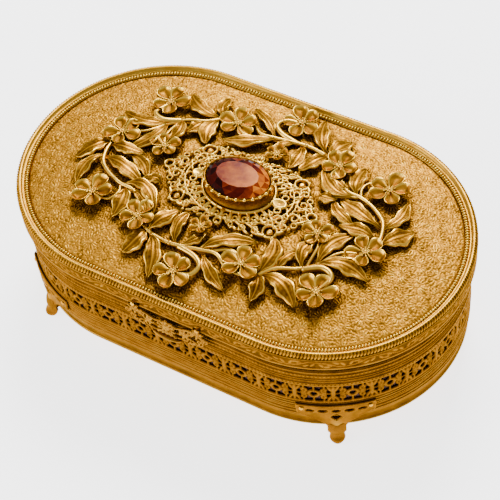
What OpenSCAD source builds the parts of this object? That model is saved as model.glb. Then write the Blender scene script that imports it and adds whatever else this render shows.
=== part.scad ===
// Oval trinket box with a hinged, jewelled lid, on four bracket feet.
// Origin: middle of the footprint, on the plane the feet stand on.  +Z up, -Y front.

/* [Overall] */
// Length of the lid over its rim
lid_length = 230; // [226:1:234]
// Width of the lid over its rim
lid_width = 138.7; // [137:0.1:140]
// Height of the lid's rim edge above the table
rim_height = 66.8; // [66.4:0.1:67.4]

/* [Walls] */
// Height of the underside of the base
foot_height = 9.2; // [8.8:0.1:9.6]
// Height of the moulded base band
base_height = 13.6; // [13:0.1:14]
// Height of the plain lower band
lower_band_height = 5.4; // [5:0.1:5.8]
// Height of the pierced gallery
gallery_height = 14.4; // [14:0.1:15]
// Set-back of the body from the lid's outline
body_inset = 1.5; // [1.4:0.1:1.6]
// Thickness of the inner tub's wall
tub_wall = 1.3; // [1.2:0.1:1.4]
// Number of pierced motifs round the gallery
motif_count = 34; // [28:2:36]

/* [Lid] */
// Opening between the lid's skirt and the body's mouth
lid_gap = 0.6; // [0.5:0.1:0.8]
// Height of the lid's side skirt
skirt_height = 7; // [6.8:0.1:7.2]
// Thickness of the skirt
skirt_wall = 1.4; // [1.3:0.1:1.5]
// Rise of the domed plate from its edge to its middle
dome_rise = 6.7; // [6.2:0.1:7]
// Thickness of the domed plate
plate_wall = 1; // [0.8:0.1:1]

/* [Jewel] */
// Length of the stone
stone_length = 33; // [31:0.5:34]
// Width of the stone
stone_width = 25; // [23:0.5:25.5]
// Top of the stone above the rim edge
stone_top = 18.6; // [18:0.1:19]
// Number of beads round the setting
bead_count = 26; // [22:1:28]

/* [Hinge] */
// Length of the hinge, knuckles only
hinge_length = 44; // [40:1:50]
// Outer radius of a knuckle
knuckle_radius = 1.6; // [1.5:0.05:1.7]
// Radius of the pin
pin_radius = 0.75; // [0.7:0.05:0.8]
// Running clearance round the pin
pin_clearance = 0.05; // [0.03:0.01:0.08]

/* [Hidden] */

eps = 0.01;
cut = 1;

// Plan: two half circles joined by a straight middle
end_radius = lid_width / 2;
end_x = (lid_length - lid_width) / 2;

// Heights
base_top = foot_height + base_height;
gallery_bottom = base_top + lower_band_height;
gallery_top = gallery_bottom + gallery_height;
plate_edge = rim_height - 1.6;
skirt_bottom = plate_edge - skirt_height;
mouth = skirt_bottom - lid_gap;
bottom_wall = 1.2;
lip_rise = 2.8;

// Radii of the walls, measured from the line joining the two end centres
body_radius = end_radius - body_inset;
band_wall = 2.2;
tub_radius = body_radius - band_wall;
tub_inner = tub_radius - tub_wall;
cloth = 0.3;
velvet = 1.5;
pad_height = 5;
soft_gap = 0.15;

// Lid
rim_inner = end_radius - 5.75;
dome_edge = end_radius - 6.15;
dome_base = plate_edge + 0.4;
dome_radius = (dome_edge * dome_edge + dome_rise * dome_rise) / (2 * dome_rise);
dome_steps = 14;
lining_wall = 2.2;

// Feet
foot_angle = 59.5;
foot_plate = 1.3;
wing = 18.5;
wing_drop = 6.4;
leg = 4.4;
toe_radius = 3.6;
toe_reach = 69.5;
foot_rivet_turn = 13.3;
rivet_radius = 0.6;
rivet_head = 1.1;
rivet_dome = 0.5;

// Hinge
hinge_y = end_radius + knuckle_radius + 0.3;
hinge_z = skirt_bottom - 0.2;
knuckles = 5;
knuckle_gap = 0.25;
knuckle_length = (hinge_length - (knuckles - 1) * knuckle_gap) / knuckles;
leaf_wall = 0.8;
lid_leaf_wall = 0.7;
leaf_rivet_x = 17;
body_rivet_z = hinge_z - 9;
lid_rivet_z = hinge_z + 4.6;

// Oval medallion and setting
medallion_length = 83;
medallion_width = 42;
medallion_wall = 1.2;
setting_base = rim_height + 9.4;
bead_radius = 0.95;

gold = [0.72, 0.53, 0.26];
pale_gold = [0.84, 0.67, 0.36];
old_gold = [0.55, 0.38, 0.16];
oxblood = [0.23, 0.06, 0.04];
wine = [0.30, 0.04, 0.06];
amber = [0.80, 0.36, 0.14];

// Sprigs lie on the front half; the back half is the same turned half round.
// Each stem is a run of points, each leaf is base, middle, tip and width.
STEMS = [
    [[-72, 2], [-71, -6], [-68, -13], [-61, -18], [-53, -21], [-45, -22], [-36, -29], [-25, -39]],
    [[-25, -39], [-14, -40], [1, -37.5], [9, -36.5], [16, -40.5], [24, -41], [31, -38]],
    [[31, -38], [37, -32], [46, -28], [53, -22]],
    [[-53, -21], [-51, -26], [-53, -31], [-60, -32]],
    [[-25, -39], [-30, -37], [-34, -34]],
    [[-10, -39.5], [0, -41.5], [5, -45.5], [3, -51], [-4, -53]],
    [[4, -37], [12, -32.5], [18, -33], [22, -37]],
    [[48, -27], [56, -23], [62, -25.5], [60, -34]],
    [[53, -22], [59, -13], [68, -8]],
    [[49, -25], [49, -14], [46, -8]],
    [[-52, -21], [-45, -17], [-38, -13]]];
LEAVES = [
    [[-72.5, 0], [-78.5, -7], [-83, -15], 9.5], [[-70, -9], [-76, -17], [-73.5, -29], 6.5],
    [[-70, -2], [-62, -2.5], [-52, -1], 7.5], [[-69, -9.5], [-56, -11.5], [-45, -16], 8.5],
    [[-59, -4], [-49, -6], [-43, -13], 6.5], [[-35, -13], [-38.5, -12], [-44, -14.5], 6.5],
    [[-50, -22], [-46, -29], [-46.5, -39], 9], [[-47, -22], [-38, -24], [-32.5, -31], 5],
    [[-50, -20], [-39, -16.5], [-29, -30], 7.5], [[-28, -38], [-28.5, -45], [-32, -53], 10],
    [[-27, -38], [-23.5, -31], [-19, -23], 8], [[-24.5, -40], [-17.5, -47], [-14, -60], 8.5],
    [[-12, -39], [-16, -31], [-14, -22], 7], [[-9, -39], [-3.5, -35], [-1, -29], 4.5],
    [[1, -37], [9, -28.5], [23, -24], 7.5], [[3, -38.5], [10, -46.5], [21, -51.5], 6],
    [[31, -37], [34, -27], [29, -18], 9], [[31, -38.5], [35, -43], [35, -51.5], 7.5],
    [[33, -37.5], [44, -37], [54, -46], 9], [[38, -32], [38, -26], [42, -20], 6],
    [[48, -27], [43, -19], [47, -11], 7], [[53, -22], [52.5, -10], [61, 0], 8],
    [[53, -22], [64, -16], [77, -20], 8.5]];
// Middle of each flower and its radius
FLOWERS = [
    [-62.5, -31, 9.6], [-35, -34, 8.8], [-4.5, -53, 9.8], [22, -37, 9.6], [59.5, -35.5, 9.6],
    [69.5, -7, 9.2], [45.5, -7.5, 7.4], [-5, -27, 5.2]];
leaf_wall_z = 1;
leaf_lift = 1.3;
leaf_step = 0.25;
pad_turn = 17;
flower_lift = 3.2;
petal_wall = 1.2;
petals = 5;

// Revolve a profile of [distance, height] round the whole plan
module around(smooth = 96) {
    for (turn = [0, 180])
        rotate([0, 0, turn]) {
            translate([end_x, 0, 0])
                rotate([0, 0, -90])
                    rotate_extrude(angle = 180, $fn = smooth) children();
            translate([-end_x, 0, 0])
                rotate([90, 0, 90])
                    linear_extrude(2 * end_x) children();
        }
}

// A plain band between two radii and two heights
module band(inner, outer, low, high) {
    around()
        translate([inner, low]) square([outer - inner, high - low]);
}

// A solid slab with the plan's outline
module slab(radius, low, high) {
    translate([0, 0, low])
        linear_extrude(high - low)
            union() {
                for (side = [-1, 1])
                    translate([side * end_x, 0]) circle(radius, $fn = 96);
                translate([-end_x, -radius]) square([2 * end_x, 2 * radius]);
            }
}

// Height of the domed plate's upper face at a distance from the middle line
function dome_at(radius) =
    dome_base + dome_rise - dome_radius + sqrt(pow(dome_radius, 2) - pow(radius, 2));

// The same at a place in plan
function dome_over(place) =
    dome_at(norm([max(abs(place[0]) - end_x, 0), place[1]]));

// Points along the dome from one radius to another, dropped by an amount
function dome_curve(from, to, drop) =
    [for (i = [0:dome_steps])
        let (r = from + (to - from) * i / dome_steps) [r, dome_at(r) - drop]];

// Points round an oval
function oval(length, width, count) =
    [for (i = [0:count - 1]) [length / 2 * cos(360 * i / count), width / 2 * sin(360 * i / count)]];

// Place something at a distance along the plan's outline of the given radius
module on_outline(radius, along) {
    straight = 2 * end_x;
    curved = PI * radius;
    half = straight + curved;
    turn = along >= half ? 180 : 0;
    left = along - (along >= half ? half : 0);
    rotate([0, 0, turn])
        if (left < straight)
            translate([-end_x + left, -radius, 0]) rotate([0, 0, -90]) children();
        else
            translate([end_x, 0, 0])
                rotate([0, 0, -90 + (left - straight) / curved * 180])
                    translate([radius, 0, 0]) children();
}

// Place something on each foot's radial line: x outwards, y sideways
module at_foot(side_x, side_y) {
    mirror([side_x < 0 ? 1 : 0, 0, 0])
        mirror([0, side_y < 0 ? 1 : 0, 0])
            translate([end_x, 0, 0])
                rotate([0, 0, foot_angle]) children();
}

// Places of the two rivets of one foot, as drills or shanks along x
module foot_rivet_places() {
    for (turn = [-foot_rivet_turn, foot_rivet_turn])
        rotate([0, 0, turn])
            translate([0, 0, gallery_bottom - 3.4]) rotate([0, 90, 0]) children();
}

// Body ------------------------------------------------------------------

module inner_tub() {
    color(old_gold)
        difference() {
            band(tub_inner, tub_radius, foot_height + bottom_wall, mouth + lip_rise);
            hinge_rivet_drills(body_rivet_z);
        }
}

module bottom_plate() {
    color(old_gold)
        slab(tub_radius, foot_height, foot_height + bottom_wall);
}

// Hollow-fronted base with a bead along its top
module base_moulding() {
    step = base_height / 10;
    hollow = [for (i = [0:6])
        let (t = i / 6)
            [tub_radius + 0.9 + 0.9 * pow(t, 2), foot_height + step + t * step * 5]];
    color(gold)
        around()
            polygon(concat(
                [[tub_radius, foot_height], [tub_radius + 1.1, foot_height],
                 [tub_radius + 1.1, foot_height + step]],
                hollow,
                [[body_radius, foot_height + 6.4 * step], [body_radius, base_top - step],
                 [body_radius - 0.5, base_top - step], [body_radius - 0.5, base_top],
                 [tub_radius, base_top]]));
}

module lower_band() {
    color(pale_gold)
        difference() {
            union() {
                band(tub_radius, body_radius - 0.4, base_top, gallery_bottom);
                band(body_radius - 0.4, body_radius, base_top + 0.3, gallery_bottom - 0.6);
            }
            for (side_x = [-1, 1], side_y = [-1, 1])
                at_foot(side_x, side_y)
                    foot_rivet_places()
                        translate([0, 0, tub_radius - cut])
                            cylinder(h = band_wall + 2 * cut, r = rivet_radius, $fn = 24);
        }
}

// Pierced band: an eight-sided eye between pairs of small windows
module pierced_gallery() {
    inner = tub_radius + cloth;
    outer = body_radius - 0.5;
    pitch = (4 * end_x + 2 * PI * outer) / motif_count;
    middle = gallery_bottom + gallery_height / 2;
    depth = 6;
    eye = 2.6;
    window = 1.5;
    window_along = 5;
    window_up = 3;
    color(gold)
        difference() {
            band(inner, outer, gallery_bottom, gallery_top);
            for (i = [0:motif_count - 1])
                on_outline(outer, (i + 0.5) * pitch) {
                    translate([-depth * 2 / 3, 0, middle]) rotate([0, 90, 0])
                        rotate([0, 0, 22.5]) cylinder(h = depth, r = eye, $fn = 8);
                    for (side = [-1, 1], up = [-1, 1])
                        translate([-depth * 2 / 3, side * window_along, middle + up * window_up])
                            rotate([0, 90, 0])
                                cylinder(h = depth, r = window, $fn = 6);
                }
        }
}

module gallery_lining() {
    color(oxblood)
        band(tub_radius, tub_radius + cloth, gallery_bottom, gallery_top);
}

module upper_band() {
    groove = 0.7;
    rib_height = 1.2;
    rib_pitch = 2.2;
    color(gold)
        difference() {
            union() {
                band(tub_radius, body_radius - groove, gallery_top, mouth);
                for (rib = [0:3])
                    band(body_radius - groove, body_radius, gallery_top + 0.4 + rib * rib_pitch,
                        gallery_top + 0.4 + rib * rib_pitch + rib_height);
                band(body_radius - groove, body_radius, mouth - 4.6, mouth - 4.6 + rib_height);
            }
            hinge_rivet_drills(body_rivet_z);
        }
}

// A bracket foot: pierced wings on the wall, a leg with a round toe, a brace behind
module foot(side_x, side_y) {
    wing_top = gallery_bottom - 0.6;
    wing_low = wing_top - wing_drop;
    leg_top = foot_height + 0.4;
    brace_radius = 1.2;
    slot_pitch = 6.1;
    slot_length = 3.8;
    slot_height = 1.8;
    lozenge = 2.2;
    sweep = [for (i = [0:8])
        let (t = i / 8) [leg + (wing - leg) * pow(t, 1.8), leg_top + (wing_low - leg_top) * t]];
    outline = concat(sweep, [[wing, wing_top]],
        [[-wing, wing_top]], [for (i = [8:-1:0]) [-sweep[i][0], sweep[i][1]]]);
    color(gold)
        at_foot(side_x, side_y)
            difference() {
                union() {
                    intersection() {
                        difference() {
                            cylinder(h = gallery_bottom, r = body_radius + foot_plate, $fn = 96);
                            translate([0, 0, -cut])
                                cylinder(h = gallery_bottom + 2 * cut, r = body_radius, $fn = 96);
                        }
                        rotate([90, 0, 90]) linear_extrude(body_radius + 4) polygon(outline);
                    }
                    hull() {
                        translate([body_radius, -leg, leg_top])
                            cube([foot_plate, 2 * leg, 0.5]);
                        translate([toe_reach - 0.5, 0, toe_radius])
                            sphere(toe_radius - 0.4, $fn = 32);
                    }
                    translate([toe_reach, 0, toe_radius - 0.3]) sphere(toe_radius, $fn = 48);
                    hull() {
                        translate([toe_reach - 2, 0, 5]) sphere(brace_radius, $fn = 24);
                        translate([tub_radius - 1, 0, foot_height - 0.5])
                            cylinder(h = 0.5, r = brace_radius + 0.2, $fn = 24);
                    }
                }
                translate([0, -20, -20]) cube([90, 40, 20]);
                for (side = [-2:2])
                    translate([body_radius - cut, side * slot_pitch - slot_length / 2, wing_top - 5])
                        cube([foot_plate + 2 * cut, slot_length, slot_height]);
                translate([body_radius - cut, 0, wing_low - 2.6]) rotate([0, 90, 0])
                    cylinder(h = foot_plate + 2 * cut, r = lozenge, $fn = 4);
                foot_rivet_places()
                    translate([0, 0, body_radius - cut])
                        cylinder(h = foot_plate + 3, r = rivet_radius, $fn = 24);
            }
}

module foot_front_left() { foot(-1, -1); }
module foot_front_right() { foot(1, -1); }
module foot_back_left() { foot(-1, 1); }
module foot_back_right() { foot(1, 1); }

// A domed head on a shank; the head's underside is at the origin, the shank goes down
module rivet(shank) {
    rotate_extrude($fn = 32)
        polygon([[0, -shank], [rivet_radius, -shank], [rivet_radius, 0], [rivet_head, 0],
            [rivet_head * 0.8, rivet_dome * 0.7], [rivet_head * 0.4, rivet_dome], [0, rivet_dome]]);
}

module foot_rivets() {
    color(pale_gold)
        for (side_x = [-1, 1], side_y = [-1, 1])
            at_foot(side_x, side_y)
                foot_rivet_places()
                    translate([0, 0, body_radius + foot_plate])
                        rivet(foot_plate + band_wall);
}

module wall_lining() {
    color(wine)
        band(tub_inner - velvet, tub_inner, foot_height + bottom_wall, mouth + lip_rise - 1);
}

module floor_pad() {
    color(wine)
        slab(tub_inner - velvet - soft_gap, foot_height + bottom_wall,
            foot_height + bottom_wall + pad_height);
}

// Hinge -----------------------------------------------------------------

// Drills through the back wall for one row of leaf rivets
module hinge_rivet_drills(height) {
    for (x = [-leaf_rivet_x, 0, leaf_rivet_x])
        translate([x, tub_inner - cut, height]) rotate([-90, 0, 0])
            cylinder(h = end_radius - tub_inner + 4, r = rivet_radius, $fn = 24);
}

// Knuckles first, first + 2 ... with the web that joins them to a leaf
module knuckle_row(first, web_y, web_low, web_high) {
    for (k = [first:2:knuckles - 1]) {
        start = -hinge_length / 2 + k * (knuckle_length + knuckle_gap);
        translate([start, hinge_y, hinge_z]) rotate([0, 90, 0])
            cylinder(h = knuckle_length, r = knuckle_radius, $fn = 48);
        translate([start, web_y, web_low])
            cube([knuckle_length, hinge_y - web_y, web_high - web_low]);
    }
}

module pin_bore(radius) {
    translate([-hinge_length, hinge_y, hinge_z]) rotate([0, 90, 0])
        cylinder(h = 2 * hinge_length, r = radius, $fn = 48);
}

module hinge_leaf_body() {
    color(pale_gold)
        difference() {
            union() {
                translate([-hinge_length / 2, body_radius, hinge_z - 12])
                    cube([hinge_length, leaf_wall, 11.4]);
                knuckle_row(0, body_radius, hinge_z - 1.6, hinge_z - 0.6);
            }
            pin_bore(pin_radius);
            hinge_rivet_drills(body_rivet_z);
        }
}

module hinge_leaf_lid() {
    color(pale_gold)
        difference() {
            union() {
                translate([-hinge_length / 2, end_radius, hinge_z + 2])
                    cube([hinge_length, lid_leaf_wall, plate_edge - hinge_z - 2.2]);
                knuckle_row(1, end_radius, hinge_z + 0.8, hinge_z + 2.4);
            }
            pin_bore(pin_radius + pin_clearance);
            hinge_rivet_drills(lid_rivet_z);
        }
}

module hinge_pin() {
    color(old_gold) {
        translate([-hinge_length / 2 - 0.4, hinge_y, hinge_z]) rotate([0, 90, 0])
            cylinder(h = hinge_length + 0.8, r = pin_radius, $fn = 48);
        for (side = [-1, 1])
            translate([side * (hinge_length / 2 + 1.2), hinge_y, hinge_z])
                sphere(1.2, $fn = 32);
    }
}

module hinge_rivets_body() {
    color(old_gold)
        for (x = [-leaf_rivet_x, 0, leaf_rivet_x])
            translate([x, body_radius + leaf_wall, body_rivet_z]) rotate([-90, 0, 0])
                rivet(leaf_wall + band_wall + tub_wall);
}

module hinge_rivets_lid() {
    color(old_gold)
        for (x = [-leaf_rivet_x, 0, leaf_rivet_x])
            translate([x, end_radius + lid_leaf_wall, lid_rivet_z]) rotate([-90, 0, 0])
                rivet(lid_leaf_wall + skirt_wall);
}

// Lid -------------------------------------------------------------------

module lid_plate() {
    color(pale_gold)
        difference() {
            around()
                polygon(concat(
                    dome_curve(0, dome_edge, 0),
                    [[rim_inner, plate_edge], [end_radius - skirt_wall, plate_edge],
                     [end_radius - skirt_wall, plate_edge - plate_wall],
                     [dome_edge, plate_edge - plate_wall]],
                    dome_curve(dome_edge - 1, 0, plate_wall)));
            medallion_rivet_places()
                cylinder(h = 20, r = rivet_radius, $fn = 24);
        }
}

module lid_skirt() {
    color(gold)
        difference() {
            band(end_radius - skirt_wall, end_radius, skirt_bottom, plate_edge);
            hinge_rivet_drills(lid_rivet_z);
            lift_rivet_places()
                cylinder(h = 12, r = rivet_radius, center = true, $fn = 24);
        }
}

// Rolled edge with a flat step inside it
module lid_rim() {
    roll = 1.75;
    color(pale_gold)
        around() {
            intersection() {
                translate([end_radius - roll, rim_height - 0.25]) circle(roll, $fn = 48);
                translate([rim_inner, plate_edge]) square([8, 8]);
            }
            translate([rim_inner, plate_edge]) square([end_radius - roll - rim_inner, 0.6]);
            translate([end_radius - 2 * roll - 0.6, plate_edge]) square([2, 1.6]);
        }
}

module rim_beading() {
    wire = 0.75;
    color(pale_gold)
        around()
            translate([rim_inner + wire, plate_edge + 0.6 + wire]) circle(wire, $fn = 24);
}

module lid_lining() {
    top_drop = plate_wall + 0.1;
    edge = dome_edge - 1.2;
    color(wine)
        difference() {
            around()
                polygon(concat(dome_curve(0, edge, top_drop),
                    dome_curve(edge, 0, top_drop + lining_wall)));
            medallion_rivet_places()
                cylinder(h = 40, r = rivet_head + 0.6, center = true, $fn = 24);
        }
}

// A small disc standing at a place in plan, at a height over the dome, turned
// by its place so that neighbouring discs' flats never lie together
module pad(place, lift, radius, height) {
    translate([place[0], place[1], dome_over(place) + lift - height / 2])
        rotate([0, 0, pad_turn * place[0]])
            cylinder(h = height, r = radius, $fn = 8);
}

module leaf(points, lift) {
    for (i = [0:1])
        hull() {
            pad(points[i], lift, i == 0 ? 0.9 : points[3] / 2, leaf_wall_z);
            pad(points[i + 1], lift, i == 0 ? points[3] / 2 : 0.5, leaf_wall_z);
        }
}

module stem(points) {
    for (i = [0:len(points) - 2])
        hull() {
            pad(points[i], leaf_lift - 0.1, 1, 1.8);
            pad(points[i + 1], leaf_lift - 0.1, 1, 1.8);
        }
}

// One sprig: stems, leaves and the posts that stand it on the plate
module sprig() {
    posts = [STEMS[0][2], STEMS[0][5], STEMS[1][1], STEMS[1][4], STEMS[2][1]];
    for (points = STEMS) stem(points);
    for (i = [0:len(LEAVES) - 1]) leaf(LEAVES[i], leaf_lift + leaf_step * (i % 3));
    for (place = posts) pad(place, 0.5, 0.8, 1);
}

// A five-petalled blossom with a boss and a pin down to the plate, all many-sided
module flower(place) {
    radius = place[2];
    pin_start = 0.12;
    translate([place[0], place[1], dome_over(place)]) {
        for (i = [0:petals - 1])
            rotate([0, 0, 360 * i / petals + 18])
                translate([radius * 0.52, 0, flower_lift])
                    cylinder(h = petal_wall, r = radius * 0.42, $fn = 12);
        translate([0, 0, flower_lift - 0.2])
            cylinder(h = petal_wall + 0.5, r = radius * 0.32, $fn = 12);
        translate([0, 0, pin_start])
            cylinder(h = flower_lift + petal_wall + 1.5, r = radius * 0.13, $fn = 12);
    }
}

// Clear room round the flower pins
module pin_clearances() {
    for (place = FLOWERS)
        translate([place[0], place[1], plate_edge]) cylinder(h = 20, r = 1.9, $fn = 12);
}

module wreath_front() {
    color(gold)
        difference() {
            sprig();
            pin_clearances();
        }
}

module wreath_back() {
    rotate([0, 0, 180]) wreath_front();
}

module flowers_front() {
    color(pale_gold)
        for (place = FLOWERS) flower(place);
}

module flowers_back() {
    rotate([0, 0, 180]) flowers_front();
}

module medallion_rivet_places() {
    for (x = [-32, 32])
        translate([x, 0, plate_edge]) children();
    for (y = [-15, 15])
        translate([0, y, plate_edge]) children();
}

// Openwork oval standing off the plate, lobed at its shoulders
module medallion() {
    low = setting_base - medallion_wall - 0.4;
    inner_length = stone_length + 1;
    inner_width = stone_width + 1;
    color(gold)
        difference() {
            translate([0, 0, low])
                linear_extrude(medallion_wall)
                    difference() {
                        union() {
                            polygon(oval(medallion_length * 0.78, medallion_width, 48));
                            for (side = [-1, 1]) {
                                translate([side * 31, 0]) circle(6.5, $fn = 32);
                                translate([side * 38, 0]) circle(3.4, $fn = 32);
                                for (up = [-1, 1])
                                    translate([side * 25, up * 16]) circle(4, $fn = 32);
                            }
                        }
                        polygon(oval(inner_length - 6, inner_width - 6, 32));
                        for (side = [-1, 1], up = [-1, 1]) {
                            translate([side * 25, up * 14.5]) circle(1.6, $fn = 8);
                            translate([side * 25, up * 5.5]) circle(2, $fn = 8);
                            translate([side * 13, up * 16.5]) circle(1.5, $fn = 8);
                        }
                        for (side = [-1, 1])
                            translate([side * 38, 0]) circle(1.2, $fn = 8);
                    }
            medallion_rivet_places()
                cylinder(h = 40, r = rivet_radius, $fn = 24);
        }
}

module medallion_rivets() {
    top = setting_base - 0.4;
    color(old_gold)
        medallion_rivet_places()
            translate([0, 0, top - plate_edge])
                rivet(top - plate_edge - 4.4);
}

// Oval cup that holds the stone; its foot stands on the openwork
module bezel_cup() {
    cup_top = rim_height + stone_top - 2.8;
    low = setting_base - 0.4;
    color(gold)
        difference() {
            translate([0, 0, low]) {
                linear_extrude(1) polygon(oval(stone_length + 2.4, stone_width + 2.4, 48));
                linear_extrude(cup_top - low)
                    polygon(oval(stone_length + 1.2, stone_width + 1.2, 48));
            }
            translate([0, 0, low - cut])
                linear_extrude(cup_top - low + 2 * cut)
                    polygon(oval(stone_length - 1.2, stone_width - 1.2, 48));
        }
}

module bezel_beads() {
    height = rim_height + stone_top - 2.8 + bead_radius;
    length = stone_length + 2;
    width = stone_width + 2;
    color(pale_gold)
        for (i = [0:bead_count - 1])
            translate([length / 2 * cos(360 * i / bead_count),
                       width / 2 * sin(360 * i / bead_count), height])
                sphere(bead_radius, $fn = 24);
}

// Brilliant-cut oval: table, crown, girdle and pavilion
module jewel() {
    top = rim_height + stone_top;
    girdle = top - 2.4;
    color(amber)
        hull() {
            translate([0, 0, top - eps])
                linear_extrude(eps) polygon(oval(stone_length * 0.66, stone_width * 0.6, 16));
            translate([0, 0, girdle - 0.5])
                linear_extrude(0.5) polygon(oval(stone_length - 1.6, stone_width - 1.6, 32));
            translate([0, 0, girdle - 6])
                linear_extrude(eps) polygon(oval(stone_length - 16, stone_width - 14, 16));
        }
}

module lift_rivet_places() {
    for (side = [-1, 1])
        translate([side * 17, -end_radius, skirt_bottom + 1.8]) rotate([90, 0, 0]) children();
}

// Floral lift plate on the lid's front, hanging over the body, with a thumb lip
module lift_ornament() {
    low = gallery_top + 1.5;
    high = skirt_bottom + 3.4;
    outline = [[-22, high - 4], [-20, high], [-14, high], [-10, high - 3], [0, high - 4],
        [10, high - 3], [14, high], [20, high], [22, high - 4], [19, low + 4], [10, low + 1.5],
        [0, low], [-10, low + 1.5], [-19, low + 4]];
    color(pale_gold)
        difference() {
            union() {
                translate([0, -end_radius, 0]) rotate([90, 0, 0])
                    linear_extrude(1.2) polygon(outline);
                translate([-8, -hinge_y - knuckle_radius, low + 1])
                    cube([16, hinge_y + knuckle_radius - end_radius - 1, 1.4]);
            }
            lift_rivet_places()
                cylinder(h = 12, r = rivet_radius, center = true, $fn = 24);
        }
}

module lift_rivets() {
    color(old_gold)
        lift_rivet_places()
            translate([0, 0, 1.2]) rivet(1.2 + skirt_wall);
}

inner_tub();
bottom_plate();
base_moulding();
lower_band();
pierced_gallery();
gallery_lining();
upper_band();
foot_front_left();
foot_front_right();
foot_back_left();
foot_back_right();
foot_rivets();
wall_lining();
floor_pad();
hinge_leaf_body();
hinge_pin();
hinge_rivets_body();
lid_plate();
lid_skirt();
lid_rim();
rim_beading();
lid_lining();
wreath_front();
wreath_back();
flowers_front();
flowers_back();
medallion();
medallion_rivets();
bezel_cup();
bezel_beads();
jewel();
lift_ornament();
lift_rivets();
hinge_leaf_lid();
hinge_rivets_lid();
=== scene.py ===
"""The looks of the oval trinket box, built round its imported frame. Lengths are in millimetres."""

import math

import bpy
import bmesh
import numpy as np
from mathutils import Matrix, Vector


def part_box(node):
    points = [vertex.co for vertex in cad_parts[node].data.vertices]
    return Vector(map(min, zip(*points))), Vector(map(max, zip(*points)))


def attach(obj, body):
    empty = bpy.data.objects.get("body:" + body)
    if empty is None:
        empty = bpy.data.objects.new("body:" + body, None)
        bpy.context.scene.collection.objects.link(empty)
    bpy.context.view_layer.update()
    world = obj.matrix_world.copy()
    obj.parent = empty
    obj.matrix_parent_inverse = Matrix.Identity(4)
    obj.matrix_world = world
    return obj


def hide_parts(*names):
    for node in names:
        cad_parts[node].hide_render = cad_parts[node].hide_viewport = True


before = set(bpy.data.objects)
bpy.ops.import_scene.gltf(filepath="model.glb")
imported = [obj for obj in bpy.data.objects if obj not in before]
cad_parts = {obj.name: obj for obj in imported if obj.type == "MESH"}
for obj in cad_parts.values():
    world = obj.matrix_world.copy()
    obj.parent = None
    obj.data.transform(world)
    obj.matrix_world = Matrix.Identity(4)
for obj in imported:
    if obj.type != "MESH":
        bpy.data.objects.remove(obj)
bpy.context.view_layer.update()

MM = 0.001
TAU = 2 * math.pi

# ---------------------------------------------------------------- sizes from the frame


def box_of(node):
    """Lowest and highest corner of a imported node, in millimetres."""
    return np.array(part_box(node)) / MM


skirt_low, skirt_high = box_of("lid_skirt")
base_low, base_high = box_of("base_moulding")
gallery_low, gallery_high = box_of("pierced_gallery")
upper_low, upper_high = box_of("upper_band")
lower_low, lower_high = box_of("lower_band")
stone_low, stone_high = box_of("jewel")
openwork_low = box_of("medallion")[0]
beads_low, beads_high = box_of("bezel_beads")
cup_low, cup_high = box_of("bezel_cup")
lift_low, lift_high = box_of("lift_ornament")

# The plan is a stretched circle: two round ends about points END_X either side of the middle.
END_RADIUS = (skirt_high[1] - skirt_low[1]) / 2
END_X = 45.65
PLATE_EDGE = skirt_high[2]
RIM_EDGE = PLATE_EDGE + 1.6
SKIRT_LOW = skirt_low[2]
TUB_RADIUS = box_of("inner_tub")[1][1]
TUB_INNER = TUB_RADIUS - 1.3
BODY_RADIUS = base_high[1]

DOME_EDGE = END_RADIUS - 6.15
DOME_TOP = box_of("lid_plate")[1][2]
DOME_RISE = DOME_TOP - PLATE_EDGE - 0.4
DOME_RADIUS = (DOME_EDGE ** 2 + DOME_RISE ** 2) / (2 * DOME_RISE)

STRAIGHT = 2 * END_X
GIRTH = 2 * STRAIGHT + TAU * END_RADIUS


def dome_at(radius):
    """Height of the domed plate at a distance from the box's middle line."""
    return DOME_TOP - DOME_RADIUS + np.sqrt(DOME_RADIUS ** 2 - np.minimum(radius, DOME_EDGE) ** 2)


def from_middle_line(x, y):
    """Distance from the line that joins the middles of the plan's two round ends."""
    return np.hypot(np.maximum(np.abs(x) - END_X, 0), y)


def dome_over(x, y):
    return dome_at(from_middle_line(x, y))


# ---------------------------------------------------------------- mesh helpers


def outline(along):
    """Base point and outward direction on the plan's outline, by distance along it.

    The distance is measured on the lid's edge, from the left end of the front's straight run.
    """
    half = GIRTH / 2
    along = np.mod(np.asarray(along, float), GIRTH)
    turned = np.where(along >= half, -1.0, 1.0)
    left = along - np.where(along >= half, half, 0)
    angle = np.maximum(left - STRAIGHT, 0) / END_RADIUS - math.pi / 2
    base_x = np.where(left < STRAIGHT, left - END_X, END_X)
    return base_x * turned, np.cos(angle) * turned, np.sin(angle) * turned


def on_wall(along, radius, height):
    """Places on the wall: distance along the outline, distance outwards, height."""
    base_x, out_x, out_y = outline(along)
    return np.stack(np.broadcast_arrays(base_x + out_x * radius, out_y * radius, height), -1)


def add_mesh(name, points, faces, material, body, nodes=(), raised=None, smooth=True):
    """A finished piece from points and faces, riding on a body, with its material."""
    mesh = bpy.data.meshes.new(name)
    mesh.from_pydata((np.asarray(points, float).reshape(-1, 3) * MM).tolist(), [], faces)
    mesh.validate()
    if raised is not None:
        layer = mesh.attributes.new("raised", "FLOAT", "POINT")
        layer.data.foreach_set("value", np.asarray(raised, np.float32).ravel())
    mesh.polygons.foreach_set("use_smooth", [smooth] * len(mesh.polygons))
    return place_piece(name, mesh, material, body, nodes)


def place_piece(name, mesh, material, body, nodes):
    """Puts a mesh in the scene, riding on its body in place of the frame's nodes."""
    piece = bpy.data.objects.new(name, mesh)
    bpy.context.scene.collection.objects.link(piece)
    mesh.materials.append(material)
    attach(piece, body)
    if nodes:
        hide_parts(*nodes)
    return piece


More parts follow.
